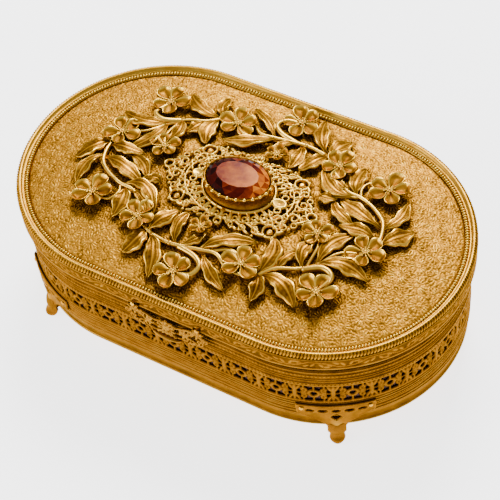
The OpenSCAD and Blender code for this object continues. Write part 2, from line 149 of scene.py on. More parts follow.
def grid_faces(rows, columns, close_rows=False):
    """Quads over a grid of points numbered row by row, each row a closed loop."""
    r, c = np.meshgrid(np.arange(rows if close_rows else rows - 1), np.arange(columns), indexing="ij")
    r2, c2 = (r + 1) % rows, (c + 1) % columns
    quads = np.stack([r * columns + c, r * columns + c2, r2 * columns + c2, r2 * columns + c], -1)
    return quads.reshape(-1, 4).tolist()


def tube_faces(rows, columns):
    """Faces of a run of loops with a cap at each end."""
    caps = [list(range(columns))[::-1], [(rows - 1) * columns + i for i in range(columns)]]
    return grid_faces(rows, columns) + caps


def closing_faces(start, around):
    """Faces that close a loop round the middle line by joining its front to its back."""
    half = around // 2
    lead = int(round(STRAIGHT / GIRTH * around))
    front = [start + i for i in range(0, lead + 1)]
    back = [start + half + i for i in range(0, lead + 1)]
    right = [start + i for i in range(lead, half + 1)]
    left = [start + (half + i) % around for i in range(lead, half + 1)]
    middle = [[front[i + 1], front[i], back[lead - i], back[lead - i - 1]] for i in range(lead)]
    return middle + [right[::-1], left[::-1]]


def oval_faces(rows, around):
    """Faces of a closed oval slab: its loops start and end on the middle line."""
    last = closing_faces((rows - 1) * around, around)
    return grid_faces(rows, around) + closing_faces(0, around) + [face[::-1] for face in last]


class Parts:
    """Collects several solids into the points, faces and heights of one piece."""

    def __init__(self):
        self.points, self.faces, self.raised, self.count = [], [], [], 0

    def add(self, points, faces, raised):
        points = np.asarray(points, float).reshape(-1, 3)
        start = self.count
        self.points.append(points)
        self.faces.extend([[i + start for i in face] for face in faces])
        self.raised.append(np.broadcast_to(np.asarray(raised, float).ravel(), len(points)))
        self.count += len(points)

    def loft(self, loops, raised=0.7, closed=False):
        """Skin over a run of point loops, capped at both ends unless it closes on itself."""
        loops = np.asarray(loops, float)
        size = loops.shape[:2]
        faces = grid_faces(*size, close_rows=True) if closed else tube_faces(*size)
        self.add(loops, faces, np.broadcast_to(raised, size))

    def ball(self, centre, radius, squash=1.0, detail=2, raised=0.9):
        points, faces = ball_mesh(detail)
        self.add(np.asarray(centre) + points * radius * np.array([1, 1, squash]), faces, raised)

    def finish(self, name, material, body, nodes=(), smooth=True):
        return add_mesh(name, np.concatenate(self.points), self.faces, material, body, nodes,
                        np.concatenate(self.raised), smooth)


ball_cache = {}


def ball_mesh(detail):
    """Points and faces of a unit ball made of triangles."""
    if detail not in ball_cache:
        shape = bmesh.new()
        bmesh.ops.create_icosphere(shape, subdivisions=detail, radius=1)
        points = np.array([v.co[:] for v in shape.verts])
        faces = [[v.index for v in f.verts] for f in shape.faces]
        shape.free()
        ball_cache[detail] = points, faces
    return ball_cache[detail]


def band(name, profile, steps, material, body, nodes=(), shift=None, raised=0.6):
    """A closed profile of [radius, height] swept round the outline.

    shift(along, profile) may add to each point's radius and height.
    """
    profile = np.asarray(profile, float)
    along = np.linspace(0, GIRTH, steps, endpoint=False)[:, None]
    radius = np.broadcast_to(profile[None, :, 0], (steps, len(profile))).copy()
    height = np.broadcast_to(profile[None, :, 1], (steps, len(profile))).copy()
    lift = np.broadcast_to(np.asarray(raised, float), radius.shape).copy()
    if shift is not None:
        more_radius, more_height, more_lift = shift(along, profile)
        radius += more_radius
        height += more_height
        lift += more_lift
    points = on_wall(np.broadcast_to(along, radius.shape), radius, height)
    faces = grid_faces(steps, len(profile), close_rows=True)
    return add_mesh(name, points, faces, material, body, nodes, lift)


def relief(field, low, high, step, height, back=0.0):
    """A raised plate whose outline is where field(x, y) is below zero.

    Returns points [x, y, height], faces and how far each point is raised, from 0 to 1.
    height(x, y, depth) is the front's height, depth being the distance in from the edge.
    """
    xs = np.arange(low[0], high[0] + step, step)
    ys = np.arange(low[1], high[1] + step, step)
    x, y = np.meshgrid(xs, ys, indexing="ij")
    value = field(x, y)
    inside = value < 0
    kept = inside[:-1, :-1] | inside[1:, :-1] | inside[:-1, 1:] | inside[1:, 1:]
    slope_x, slope_y = np.gradient(value, step)
    steep = np.maximum(slope_x ** 2 + slope_y ** 2, 0.2)
    pull = np.where(value > 0, np.clip(value, 0, 1.2 * step) / steep, 0)
    x, y = x - pull * slope_x, y - pull * slope_y
    depth = np.maximum(-value, 0)
    number = np.arange(value.size).reshape(value.shape)
    quads = np.stack([number[:-1, :-1], number[1:, :-1], number[1:, 1:], number[:-1, 1:]], -1)[kept]
    used, quads = np.unique(quads, return_inverse=True)
    quads = quads.reshape(-1, 4)
    flat = np.stack([x.ravel(), y.ravel()], -1)[used]
    front = height(flat[:, 0], flat[:, 1], depth.ravel()[used])
    count = len(used)
    edges = np.concatenate([quads[:, [i, (i + 1) % 4]] for i in range(4)])
    key = edges[:, 0] * count + edges[:, 1]
    twin = edges[:, 1] * count + edges[:, 0]
    rim = edges[~np.isin(key, twin)]
    walls = np.stack([rim[:, 1], rim[:, 0], rim[:, 0] + count, rim[:, 1] + count], -1)
    faces = np.concatenate([quads, quads[:, ::-1] + count, walls]).tolist()
    points = np.concatenate([np.c_[flat, front], np.c_[flat, np.full(count, back)]])
    span = max(np.ptp(front), 1e-6)
    lift = np.concatenate([0.25 + 0.75 * (front - front.min()) / span, np.zeros(count)])
    return points, faces, lift


# ---------------------------------------------------------------- outline fields


def unit(value):
    return np.clip(value, 0, 1)


def bell(away, width):
    """1 at the middle, falling off smoothly to either side."""
    return np.exp(-(away / width) ** 2)


def union(*fields):
    """Field of everything that lies inside at least one of several outlines."""
    return np.minimum.reduce(fields)


def disc(x, y, centre, radius):
    return np.hypot(x - centre[0], y - centre[1]) - radius


def ring(x, y, centre, radius, half_width):
    return np.abs(disc(x, y, centre, radius)) - half_width


def ellipse(x, y, centre, half_x, half_y, turn=0.0):
    dx, dy = x - centre[0], y - centre[1]
    u = dx * math.cos(turn) + dy * math.sin(turn)
    v = dy * math.cos(turn) - dx * math.sin(turn)
    scaled = np.hypot(u / half_x, v / half_y)
    slope = np.hypot(u / half_x ** 2, v / half_y ** 2) / np.maximum(scaled, 1e-9)
    return (scaled - 1) / np.maximum(slope, 1e-9)


def stroke(x, y, points, half_width):
    """Distance to a line through points, less its half width, which may taper."""
    points = np.asarray(points, float)
    widths = np.broadcast_to(half_width, len(points)).astype(float)
    best = np.full(np.shape(x), np.inf)
    for (a, b, wa, wb) in zip(points[:-1], points[1:], widths[:-1], widths[1:]):
        d = b - a
        t = unit(((x - a[0]) * d[0] + (y - a[1]) * d[1]) / max(d @ d, 1e-12))
        best = np.minimum(best, np.hypot(x - a[0] - t * d[0], y - a[1] - t * d[1]) - wa - t * (wb - wa))
    return best


def scroll(centre, radius, start, turns, tail, points=26):
    """Points of a spiral that opens from a small eye to its radius, then runs on to a tail."""
    t = np.linspace(0, 1, points)
    size = radius * (0.28 + 0.72 * t)
    angle = start + turns * TAU * (t - 1)
    run = np.stack([centre[0] + size * np.cos(angle), centre[1] + size * np.sin(angle)], -1)
    return np.concatenate([run, [tail]]) if tail is not None else run


def smooth_path(points, count):
    """A Catmull-Rom curve through points."""
    p = np.asarray(points, float)
    p = np.concatenate([[2 * p[0] - p[1]], p, [2 * p[-1] - p[-2]]])
    t = np.linspace(0, len(p) - 3 - 1e-9, count)
    i = t.astype(int)
    f = (t - i)[:, None]
    a, b, c, d = p[i], p[i + 1], p[i + 2], p[i + 3]
    return 0.5 * (2 * b + (c - a) * f + (2 * a - 5 * b + 4 * c - d) * f ** 2
                  + (3 * b - a - 3 * c + d) * f ** 3)


def grains(x, y, pitch, seed):
    """Distance, in pitches, to the nearest of a scatter of points, one to each cell."""
    place = np.random.default_rng(seed).random((64, 64, 2))
    u, v = x / pitch, y / pitch
    cell_u, cell_v = np.floor(u).astype(int), np.floor(v).astype(int)
    best = np.full(np.shape(x), np.inf)
    for du in (-1, 0, 1):
        for dv in (-1, 0, 1):
            spot = place[(cell_u + du) % 64, (cell_v + dv) % 64]
            best = np.minimum(best, np.hypot(cell_u + du + spot[..., 0] - u, cell_v + dv + spot[..., 1] - v))
    return best


# ---------------------------------------------------------------- materials


class Nodes:
    """Short hand for building one material's node tree."""

    def __init__(self, name):
        self.material = bpy.data.materials.new(name)
        self.material.use_nodes = True
        self.tree = self.material.node_tree
        self.shader = self.tree.nodes["Principled BSDF"]

    def add(self, kind, **settings):
        node = self.tree.nodes.new(kind)
        for key, value in settings.items():
            if key in node.inputs:
                node.inputs[key].default_value = value
            else:
                setattr(node, key, value)
        return node

    def link(self, source, target):
        self.tree.links.new(source, target)

    def noise(self, per_metre, detail=3.0, rough=0.6):
        place = self.add("ShaderNodeTexCoord")
        noise = self.add("ShaderNodeTexNoise")
        noise.inputs["Scale"].default_value = per_metre
        noise.inputs["Detail"].default_value = detail
        noise.inputs["Roughness"].default_value = rough
        self.link(place.outputs["Object"], noise.inputs["Vector"])
        return noise.outputs["Fac"]

    def ramp(self, source, stops):
        ramp = self.add("ShaderNodeValToRGB")
        while len(ramp.color_ramp.elements) < len(stops):
            ramp.color_ramp.elements.new(0.5)
        for element, (place, colour) in zip(ramp.color_ramp.elements, stops):
            element.position = place
            element.color = (*colour, 1)
        self.link(source, ramp.inputs["Fac"])
        return ramp.outputs["Color"]

    def maths(self, operation, a, b):
        node = self.add("ShaderNodeMath", operation=operation)
        for socket, value in zip(node.inputs, (a, b)):
            if hasattr(value, "links"):
                self.link(value, socket)
            else:
                socket.default_value = value
        return node.outputs["Value"]

    def bump(self, source, strength, distance):
        bump = self.add("ShaderNodeBump")
        bump.inputs["Strength"].default_value = strength
        bump.inputs["Distance"].default_value = distance
        self.link(source, bump.inputs["Height"])
        self.link(bump.outputs["Normal"], self.shader.inputs["Normal"])

    def set(self, **values):
        for key, value in values.items():
            self.shader.inputs[key.replace("_", " ")].default_value = value


def gilt(name, deep, body, bright, rough=0.3, carved=True):
    """Antique gilding, dark to bright by each point's raised level: patina in its recesses and rubbing on its
    high places, and, where a piece sets that level for light, painted shade and painted highlights.
    """
    made = Nodes(name)
    tarnish = made.noise(160, 4)
    fine = made.noise(1500, 3)
    if carved:
        source = made.add("ShaderNodeAttribute", attribute_name="raised").outputs["Fac"]
    else:
        source = made.maths("MULTIPLY", made.noise(60, 2), 1.15)
    blotch = made.maths("MULTIPLY", made.maths("SUBTRACT", tarnish, 0.5), 0.55)
    level = made.maths("ADD", source, blotch)
    shadow = [0.45 * d + 0.55 * b * 0.55 for d, b in zip(deep, body)]
    colour = made.ramp(level, [(0.0, deep), (0.22, shadow), (0.52, body), (0.95, bright)])
    made.link(colour, made.shader.inputs["Base Color"])
    worn = made.maths("MULTIPLY", made.maths("SUBTRACT", 1.0, level), 0.22)
    dull = made.maths("ADD", worn, rough - 0.08)
    grain = made.maths("MULTIPLY", fine, 0.12)
    made.link(made.maths("ADD", dull, grain), made.shader.inputs["Roughness"])
    made.set(Metallic=1.0)
    made.shader.inputs["Specular Tint"].default_value = (1.0, 0.78, 0.48, 1)
    made.bump(fine, 0.25, 0.00012)
    return made.material


def velvet(name, dark, light):
    """Short pile cloth."""
    made = Nodes(name)
    pile = made.noise(3200, 2)
    crush = made.noise(70, 3)
    level = made.maths("ADD", made.maths("MULTIPLY", pile, 0.5), made.maths("MULTIPLY", crush, 0.5))
    colour = made.ramp(level, [(0.35, dark), (0.65, light)])
    made.link(colour, made.shader.inputs["Base Color"])
    made.set(Roughness=0.95, Sheen_Weight=0.7, Sheen_Roughness=0.4)
    made.shader.inputs["Sheen Tint"].default_value = (*[min(1, 2.5 * c + 0.1) for c in light], 1)
    made.bump(pile, 0.5, 0.0003)
    return made.material


def backing_cloth(name, dark, light):
    """Plain woven cloth behind the piercings."""
    made = Nodes(name)
    place = made.add("ShaderNodeTexCoord")
    weave = made.add("ShaderNodeTexWave", wave_type="BANDS", bands_direction="Z")
    weave.inputs["Scale"].default_value = 320
    weave.inputs["Distortion"].default_value = 1.5
    made.link(place.outputs["Object"], weave.inputs["Vector"])
    made.link(made.ramp(weave.outputs["Fac"], [(0.2, dark), (0.8, light)]), made.shader.inputs["Base Color"])
    made.set(Roughness=0.85)
    made.bump(weave.outputs["Fac"], 0.4, 0.0002)
    return made.material


def amber(name):
    """The stone: orange glass with painted light: its facets lighter or darker by the way they face the
    light, and the whole lighter towards +x.
    """
    made = Nodes(name)
    facet = made.add("ShaderNodeAttribute", attribute_name="facet").outputs["Fac"]
    cloud = made.maths("MULTIPLY", made.maths("SUBTRACT", made.noise(170, 3), 0.5), 0.5)
    place = made.add("ShaderNodeSeparateXYZ")
    made.link(made.add("ShaderNodeTexCoord").outputs["Object"], place.inputs["Vector"])
    # Painted light: the stone is lighter towards +x, over a random cloud in its tone.
    tone_and_painted_light = made.maths("ADD", cloud, made.maths("MULTIPLY", place.outputs["X"], 14))
    painted_light_ramp = [(0.0, (0.012, 0.001, 0.0005)), (0.30, (0.07, 0.004, 0.001)), (0.50, (0.22, 0.024, 0.003)),
              (0.70, (0.60, 0.13, 0.006)), (0.95, (0.95, 0.30, 0.012))]
    made.link(made.ramp(made.maths("ADD", facet, tone_and_painted_light), painted_light_ramp), made.shader.inputs["Base Color"])
    made.set(Roughness=0.16, IOR=1.45, Specular_IOR_Level=0.04, Transmission_Weight=0.1)
    made.bump(made.noise(900, 2), 0.04, 0.0001)
    return made.material


def gilt_sheet(name, shade, carved=True, rough=0.3, brown=1.0):
    """One of the box's gildings, lighter or darker by its shade, browner as brown falls; the darkest copies
    are the same gilding as painted shade.
    """
    deep = [0.055 * shade, 0.012 * shade, 0.001 * shade]
    body = [0.66 * shade, 0.295 * brown * shade, 0.016 * brown * shade]
    bright = [1.0 * shade, 0.63 * brown * shade, 0.075 * brown * shade]
    return gilt(name, deep, body, bright, rough, carved)


gilt_lid = gilt_sheet("gilt_lid", 0.92, rough=0.44)
gilt_cast = gilt_sheet("gilt_cast", 1.0)
gilt_bright = gilt_sheet("gilt_bright", 1.0, rough=0.3)
gilt_trim = gilt_sheet("gilt_trim", 0.72, rough=0.34)
# The next two are the same gilding at about a third of the lid's brightness: painted shade on the upright
# sides, feet and lift plaque.
gilt_side_shaded = gilt_sheet("gilt_side_shaded", 0.31, rough=0.42, brown=0.84)
gilt_foot_shaded = gilt_sheet("gilt_foot_shaded", 0.35, rough=0.36, brown=0.84)
aged_brass = gilt_sheet("aged_brass", 0.45, carved=False, rough=0.42, brown=0.9)
plain_gilt = gilt_sheet("plain_gilt", 0.8, carved=False)
wine_velvet = velvet("wine_velvet", (0.05, 0.003, 0.006), (0.16, 0.010, 0.018))
oxblood = backing_cloth("oxblood", (0.020, 0.004, 0.002), (0.075, 0.018, 0.008))
stone_glass = amber("stone_glass")

# ---------------------------------------------------------------- lid plate


def daisies(x, y):
    """Height of the stamped ground: rows of small daisies on a stippled field."""
    pitch = 10.2
    row_pitch = pitch * 0.866
    row = np.floor(y / row_pitch).astype(int)
    best = np.full(np.shape(x), np.inf)
    bloom = np.zeros(np.shape(x))
    inside = np.zeros(np.shape(x))
    jitter = np.random.default_rng(11).uniform(-1, 1, (64, 64, 3))
    for r in (row - 1, row, row + 1):
        offset = np.where(r % 2 == 0, 0.0, 0.5) * pitch
        column = np.floor((x - offset) / pitch).astype(int)
        for c in (column, column + 1):
            wobble_x, wobble_y, turn = np.moveaxis(jitter[r % 64, c % 64], -1, 0)
            dx = x - offset - c * pitch - wobble_x
            dy = y - r * row_pitch - wobble_y
            away = np.hypot(dx, dy)
            size = 4.5 + 0.4 * turn
            petals = daisy(away, np.arctan2(dy, dx) + turn, size, wobble_x)
            closer = away < best
            bloom = np.where(closer, petals, bloom)
            inside = np.where(closer, unit((size + 0.2 - away) / 0.5), inside)
            best = np.minimum(best, away)
    stipple = unit(1.25 - grains(x, y, 1.0, 3) / 0.42)
    coarse = unit(1.1 - grains(x + 0.4 * y, y - 0.2 * x, 1.7, 5) / 0.45)
    ground = unit(0.75 * stipple + 0.35 * coarse)
    return inside * np.maximum(bloom, 0.62 * ground) + (1 - inside) * ground


def daisy(away, angle, size, uneven):
    """Height of one daisy: narrow rays round a raised ring."""
    rays = unit(0.15 + 1.1 * np.cos(17 * angle)) * (0.72 + 0.28 * np.sin(3 * angle + 40 * uneven))
    ray = rays * unit((size - away) / 0.6) * unit((away - 1.5) / 0.5)
    button = unit(1.1 - np.abs(away - 0.75) / 0.45)
    return np.maximum(ray, 0.7 * button)


def painted_shade_near_raised_work(points, x, y, reach):
    """How much painted shade lies at x, y, from 0 to 1: the closer to raised work, the more, standing for the
    shadow round it.
    """
    cell = 0.5
    size = 500
    count = np.zeros((size, size))
    spots = np.clip((points[:, :2] / cell + size / 2).astype(int), 0, size - 1)
    count[spots[:, 0], spots[:, 1]] = 1
    for _ in range(int(reach / cell)):
        wider = np.maximum.reduce([np.roll(count, step, axis) for step in (-1, 1) for axis in (0, 1)])
        count = np.maximum(count, wider - cell / reach)
    u = np.clip((x / cell + size / 2).astype(int), 0, size - 1)
    v = np.clip((y / cell + size / 2).astype(int), 0, size - 1)
    return unit(count[u, v])


def make_plate(raised_work):
    """The domed lid plate with its stamped ground."""
    around = 1400
    rings = 165
    depth = 0.5
    along = np.linspace(0, GIRTH, around, endpoint=False)[None, :]
    radius = np.linspace(0.2, DOME_EDGE, rings)[:, None]
    flat = on_wall(np.broadcast_to(along, (rings, around)), radius, 0.0)
    stamped = daisies(flat[..., 0], flat[..., 1])
    calm = unit((DOME_EDGE - radius) / 0.8)
    top = flat.copy()
    top[..., 2] = dome_at(radius) - 0.1 + stamped * depth * calm
    flange = [(END_RADIUS - 5.8, PLATE_EDGE), (END_RADIUS - 1.5, PLATE_EDGE),
              (END_RADIUS - 1.5, PLATE_EDGE - 1.0), (DOME_EDGE, PLATE_EDGE - 1.0)]
    under = [(r, dome_at(r) - 1.0) for r in np.linspace(DOME_EDGE - 1.0, 0.2, 12)]
    rest = np.array([on_wall(along[0], r, z) for r, z in flange + under])
    loops = np.concatenate([top, rest])
    raised = np.zeros(loops.shape[:2])
    raised[:rings] = 0.24 + 0.60 * stamped * calm
    # Painted shade: the plate is darkened near the sprigs and the medallion.
    raised[:rings] -= 0.30 * painted_shade_near_raised_work(raised_work, flat[..., 0], flat[..., 1], 4.0)
    faces = oval_faces(len(loops), around)
    return add_mesh("lid_plate_stamped", loops, faces, gilt_lid, "lid", ["lid_plate"], raised)


# ---------------------------------------------------------------- rim, beading and skirt


def arc(centre, radius, start, end, count):
    angle = np.radians(np.linspace(start, end, count))
    return [(centre[0] + radius * math.cos(a), centre[1] + radius * math.sin(a)) for a in angle]


def make_rim():
    """Rolled edge with a corded lower half and a plain step inside it."""
    roll = 1.75
    centre = (END_RADIUS - roll, RIM_EDGE - 0.25)
    profile = ([(END_RADIUS - 5.75, PLATE_EDGE), (END_RADIUS - 5.75, PLATE_EDGE + 0.6),
                (END_RADIUS - 4.15, PLATE_EDGE + 0.6),
                (END_RADIUS - 4.0, PLATE_EDGE + 1.25), (END_RADIUS - 3.5, PLATE_EDGE + 1.5),
                (END_RADIUS - 3.1, PLATE_EDGE + 1.3)]
               + arc(centre, roll, 125, -50, 16)
               + [(END_RADIUS - roll * 0.6, PLATE_EDGE)])
    cord = 1.55
    count = round(GIRTH / cord)

    def twist(along, points):
        place = np.arange(len(points))[None, :]
        on_cord = unit((place - 9.8) / 1.2) * (place < len(points) - 1)
        wave = 0.5 + 0.5 * np.cos(TAU * (count * along / GIRTH) + 0.45 * (place - 12))
        # Painted shade: the cord's notches are set darker, less on top of the roll than on its outer side.
        shade = 0.12 - on_cord * (0.16 + 0.45 * (1 - wave) * np.clip((place - 8) / 5, 0.4, 1))
        return -0.5 * (1 - wave) * on_cord, -0.15 * (1 - wave) * on_cord, shade

    band("lid_rim_rolled", profile, 2200, gilt_trim, "lid", ["lid_rim"], twist, 0.5)


def make_beading():
    """A row of small grains just inside the rolled edge."""
    pitch = 1.5
    radius = END_RADIUS - 4.95
    count = round((2 * STRAIGHT + TAU * radius) / pitch)
    shape, faces = ball_mesh(2)
    beads = Parts()
    for i in range(count):
        place = GIRTH * i / count
        out_x, out_y = outline(place)[1:]
        across = shape @ np.array([[out_x, out_y, 0], [-out_y, out_x, 0], [0, 0, 1]])
        along = shape[:, :1] * np.array([[out_x, out_y, 0]])
        centre = on_wall(place, radius, PLATE_EDGE + 1.1)
        beads.add(centre + (0.66 * across + 0.42 * along), faces, 0.95)
    beads.finish("rim_beads", gilt_trim, "lid", ["rim_beading"])


def leafy_scroll(along, height, tile, tall):
    """How raised a running leaf scroll is at a place; height runs from 0 to tall."""
    upright = np.mod(along, 2 * tile) < tile
    x = np.mod(along, tile) / tile
    y = np.where(upright, height, tall - height) / tall
    size = np.array([tile, tall])
    x, y = x * tile, y * tall
    stem = stroke(x, y, size * [(0, 0.15), (0.35, 0.35), (0.7, 0.85), (1, 0.85)], 0.28)
    eye = scroll((0.42 * tile, 0.62 * tall), 0.22 * tall, 4.2, 1.1, (0.2 * tile, 0.2 * tall))
    curl = stroke(x, y, eye, 0.24)
    leaves = [ellipse(x, y, (cx * tile, cy * tall), 1.5, 0.6, turn)
              for cx, cy, turn in ((0.12, 0.62, 1.0), (0.62, 0.28, 0.5), (0.84, 0.45, 0.9), (0.3, 0.85, 0.2))]
    return unit(0.5 - union(stem, curl, *leaves) / 0.55)


def make_skirt():
    """The lid's side with a low running scroll between two plain edges."""
    inner = END_RADIUS - 1.4
    heights = np.linspace(SKIRT_LOW, PLATE_EDGE, 22)
    profile = [(inner, z) for z in (PLATE_EDGE, SKIRT_LOW)] + [(END_RADIUS - 0.45, z) for z in heights]
    tall = (PLATE_EDGE - SKIRT_LOW) * 0.66
    tile = GIRTH / 46

    def carve(along, points):
        z = points[None, :, 1] + 0 * along
        outside = (np.arange(len(points)) >= 2)[None, :]
        up = (z - SKIRT_LOW) / (PLATE_EDGE - SKIRT_LOW)
        edge = unit((0.13 - up) / 0.04) + unit((up - 0.9) / 0.04)
        carved = leafy_scroll(along, z - SKIRT_LOW - 0.17 * (PLATE_EDGE - SKIRT_LOW), tile, tall)
        carved = np.maximum(edge, np.where((up > 0.13) & (up < 0.9), carved, 0))
        return outside * carved * 0.4, 0.0, outside * (0.42 * carved - 0.08)

    band("lid_skirt_carved", profile, 1400, gilt_side_shaded, "lid", ["lid_skirt"], carve, 0.32)


make_rim()
make_beading()
make_skirt()

# ---------------------------------------------------------------- body bands


def ribbed(low, high, foot, ribs):
    """Outer profile of a band, upwards, with half-round ribs [height, radius] on it."""
    profile = [(foot, low)]
    for height, size in ribs:
        profile += arc((foot, height), size, -90, 90, 7)
    return profile + [(foot, high)]


def make_upper_band():
    """The ribbed band between the gallery and the body's mouth, two of its ribs beaded."""
    low, high = upper_low[2], upper_high[2]
    foot = BODY_RADIUS - 0.75
    ribs = [(low + 0.8, 0.7), (low + 3.1, 0.4), (low + 4.6, 0.4),
            (low + 7.2, 0.7), (high - 5.2, 0.55)]
    outer = ribbed(low, high - 3.9, foot, ribs)
    groove = TUB_RADIUS + 0.45
    profile = outer + [(groove, high - 3.7), (groove, high), (TUB_RADIUS, high), (TUB_RADIUS, low)]
    beaded = [low + 0.8, low + 7.2]
    count = round(GIRTH / 1.9)

    def shape(along, points):
        out = unit((points[None, :, 0] - foot) / 0.7)
        near = np.min([np.abs(points[:, 1] - z) for z in beaded], axis=0)[None, :] < 0.8
        wave = np.abs(np.cos(math.pi * count * along / GIRTH))
        notch = np.where(near, (1 - wave) * out, 0)
        # Painted shade: the groove at the top of the band, under the lid's skirt, is set dark.
        shaded_groove = (points[None, :, 1] > high - 3.8) + 0 * along
        return -0.4 * notch, 0.0, 0.26 * out - 0.35 * notch - 0.5 * shaded_groove

    band("upper_band_ribbed", profile, 1300, gilt_side_shaded, "box", ["upper_band"], shape, 0.34)


def make_lower_band():
    """The plainer ribbed band between the base and the gallery."""
    low, high = lower_low[2], lower_high[2]
    foot = BODY_RADIUS - 0.55
    ribs = [(low + 0.9, 0.45), (low + 2.7, 0.55), (high - 0.9, 0.5)]
    profile = ribbed(low, high, foot, ribs) + [(TUB_RADIUS, high), (TUB_RADIUS, low)]

    def shape(along, points):
        out = unit((points[None, :, 0] - foot) / 0.5) + 0 * along
        return 0.0, 0.0, 0.26 * out

    band("lower_band_ribbed", profile, 420, gilt_side_shaded, "box", ["lower_band"], shape, 0.36)


def make_base():
    """The base: a bead and a groove over a hollow that draws in to a small foot."""
    low, high = base_low[2], base_high[2]
    tall = high - low
    hollow = [(TUB_RADIUS + 0.95 + 0.95 * share ** 2, low + (0.12 + 0.46 * share) * tall)
              for share in np.linspace(0, 1, 9)]
    profile = ([(TUB_RADIUS, low), (TUB_RADIUS + 1.1, low)]
               + arc((TUB_RADIUS + 1.0, low + 0.06 * tall), 0.05 * tall, -60, 60, 5)
               + hollow
               + arc((BODY_RADIUS - 0.62, low + 0.66 * tall), 0.62, -80, 80, 7)
               + [(BODY_RADIUS - 0.8, low + 0.735 * tall)]
               + arc((BODY_RADIUS - 0.7, low + 0.81 * tall), 0.7, -70, 70, 7)
               + [(BODY_RADIUS - 0.9, low + 0.89 * tall), (BODY_RADIUS - 0.3, low + 0.93 * tall),
                  (BODY_RADIUS - 0.3, high), (TUB_RADIUS, high)])

    def shape(along, points):
        out = unit((points[None, :, 0] - TUB_RADIUS - 1.2) / 0.9) + 0 * along
        # Painted highlight: the narrow bottom edge of the base is set bright.
        highlight_line = points[None, :, 1] < low + 0.115 * tall
        return 0.0, 0.0, 0.24 * out - 0.08 + 0.45 * highlight_line

    band("base_moulded", profile, 420, gilt_side_shaded, "box", ["base_moulding"], shape, 0.42)


make_upper_band()
make_lower_band()
make_base()

# ---------------------------------------------------------------- pierced gallery

MOTIFS = 34


def gallery_field(x, y):
    """One motif of the gallery: a scroll eye between two upright palmettes."""
    half = GIRTH / MOTIFS / 2
    tall = gallery_high[2] - gallery_low[2]
    mid = tall / 2
    side = np.abs(x - half)
    rails = np.where(y < mid, y - 1.5, tall - 1.6 - y)
    lines = [rails, ring(side, y, (0, mid), 2.3, 0.95), ellipse(side, y, (half, mid), 1.25, mid - 0.6),
             stroke(side, y, [(2.6, mid), (half, mid)], 0.5)]
    for up in (-1, 1):
        curl = scroll((4.9, mid + up * 2.6), 1.75, -1.2 * up, 1.0 * up, (2.3, mid - up * 0.6))
        lines += [stroke(side, y, curl, 0.72),
                  ellipse(side, y, (half - 1.8, mid + up * 4.1), 0.9, 2.5, up * 0.45),
                  stroke(side, y, [(0, mid + up * 2.8), (0, mid + up * (mid - 1.2))], 0.6),
                  stroke(side, y, [(4.9, mid + up * 3.6), (4.9, mid + up * (mid - 1))], 0.6)]
    return union(*lines)


def make_gallery():
    """The pierced band, one motif repeated round the box, with cloth behind it."""
    low, high = gallery_low[2], gallery_high[2]
    pitch = GIRTH / MOTIFS
    inner = TUB_RADIUS + 0.35

    def height(_x, _y, depth):
        return 0.75 + 0.75 * np.sqrt(unit(depth / 0.8))

    points, faces, lift = relief(gallery_field, (0, 0), (pitch, high - low), pitch / 52, height)
    points[:, :2] = np.clip(points[:, :2], 0, (pitch, high - low))
    parts = Parts()
    for i in range(MOTIFS):
        placed = on_wall(points[:, 0] + i * pitch, inner + points[:, 2], low + points[:, 1])
        parts.add(placed, faces, 0.02 + 0.50 * lift)
    parts.finish("gallery_pierced", gilt_side_shaded, "box", ["pierced_gallery"])
    cloth = [(TUB_RADIUS + out, z) for out, z in ((0.02, low), (0.3, low), (0.3, high), (0.02, high))]
    band("gallery_backing", cloth, 300, oxblood, "box", ["gallery_lining"])


make_gallery()

# ---------------------------------------------------------------- feet

FOOT_ANGLE = math.radians(59.5)


def bracket_field(x, y):
    """Wings and neck of a foot, in millimetres across and up, less its piercings."""
    x, y = np.abs(x), y
    top = (gallery_low[2]) - 0.6
    neck = 9.6
    share = unit((y - neck) / (top - 6.4 - neck))
    half = 4.4 + 14.1 * share ** 1.8
    best = np.maximum((x - half) * 0.8, np.maximum(y - top, 5.5 - y))
    best = np.minimum(best, disc(x, y, (16.6, top - 2.4), 2.2))
    slots = np.minimum(ellipse(x, y, (0, top - 4.1), 1.9, 1.0), ellipse(x, y, (6.1, top - 4.1), 2.2, 1.1))
    slots = np.minimum(slots, ellipse(x, y, (12.0, top - 4.1), 2.0, 0.9))
    diamond = (np.abs(x) + np.abs(y - (top - 9.0)) * 1.1 - 2.6) * 0.7
    return np.maximum(best, -np.minimum(slots, diamond))


def bracket_height(x, y, depth):
    """The bracket's front: a raised edge, and a rounded spine down the middle."""
    edge = unit(depth / 0.45)
    lip = bell(depth - 0.5, 0.35)
    spine = bell(x, 2.6) * unit((20 - y) / 8)
    return 0.45 + 0.45 * edge + 0.4 * lip + 1.1 * spine


def leg_loops():
    """Sections of the leg from the bracket down to the toe, as loops [outwards, across, up]."""
    # Outwards from the body, up, half width across and half depth of each section.
    sections = [(0.6, 13.2, 3.6, 0.9), (1.3, 10.6, 4.3, 1.5), (1.6, 8.4, 4.3, 1.8), (1.4, 6.6, 3.7, 1.9),
                (1.6, 4.9, 3.5, 2.4), (2.0, 3.3, 3.75, 3.0), (2.2, 1.6, 3.2, 2.8), (2.2, 0.4, 1.9, 1.8),
                (2.2, 0.0, 1.2, 1.2)]
    sides = 28
    angle = np.linspace(0, TAU, sides, endpoint=False)
    ridge = 1 + 0.07 * np.cos(3 * angle) * (np.cos(angle) > 0)
    loops = []
    for out, up, wide, deep in smooth_path(np.array(sections) + [BODY_RADIUS, 0, 0, 0], 30):
        outwards = out + deep * np.cos(angle) * ridge
        loops.append(np.stack([outwards, wide * np.sin(angle), np.full(sides, max(up, 0))], -1))
    return np.array(loops)


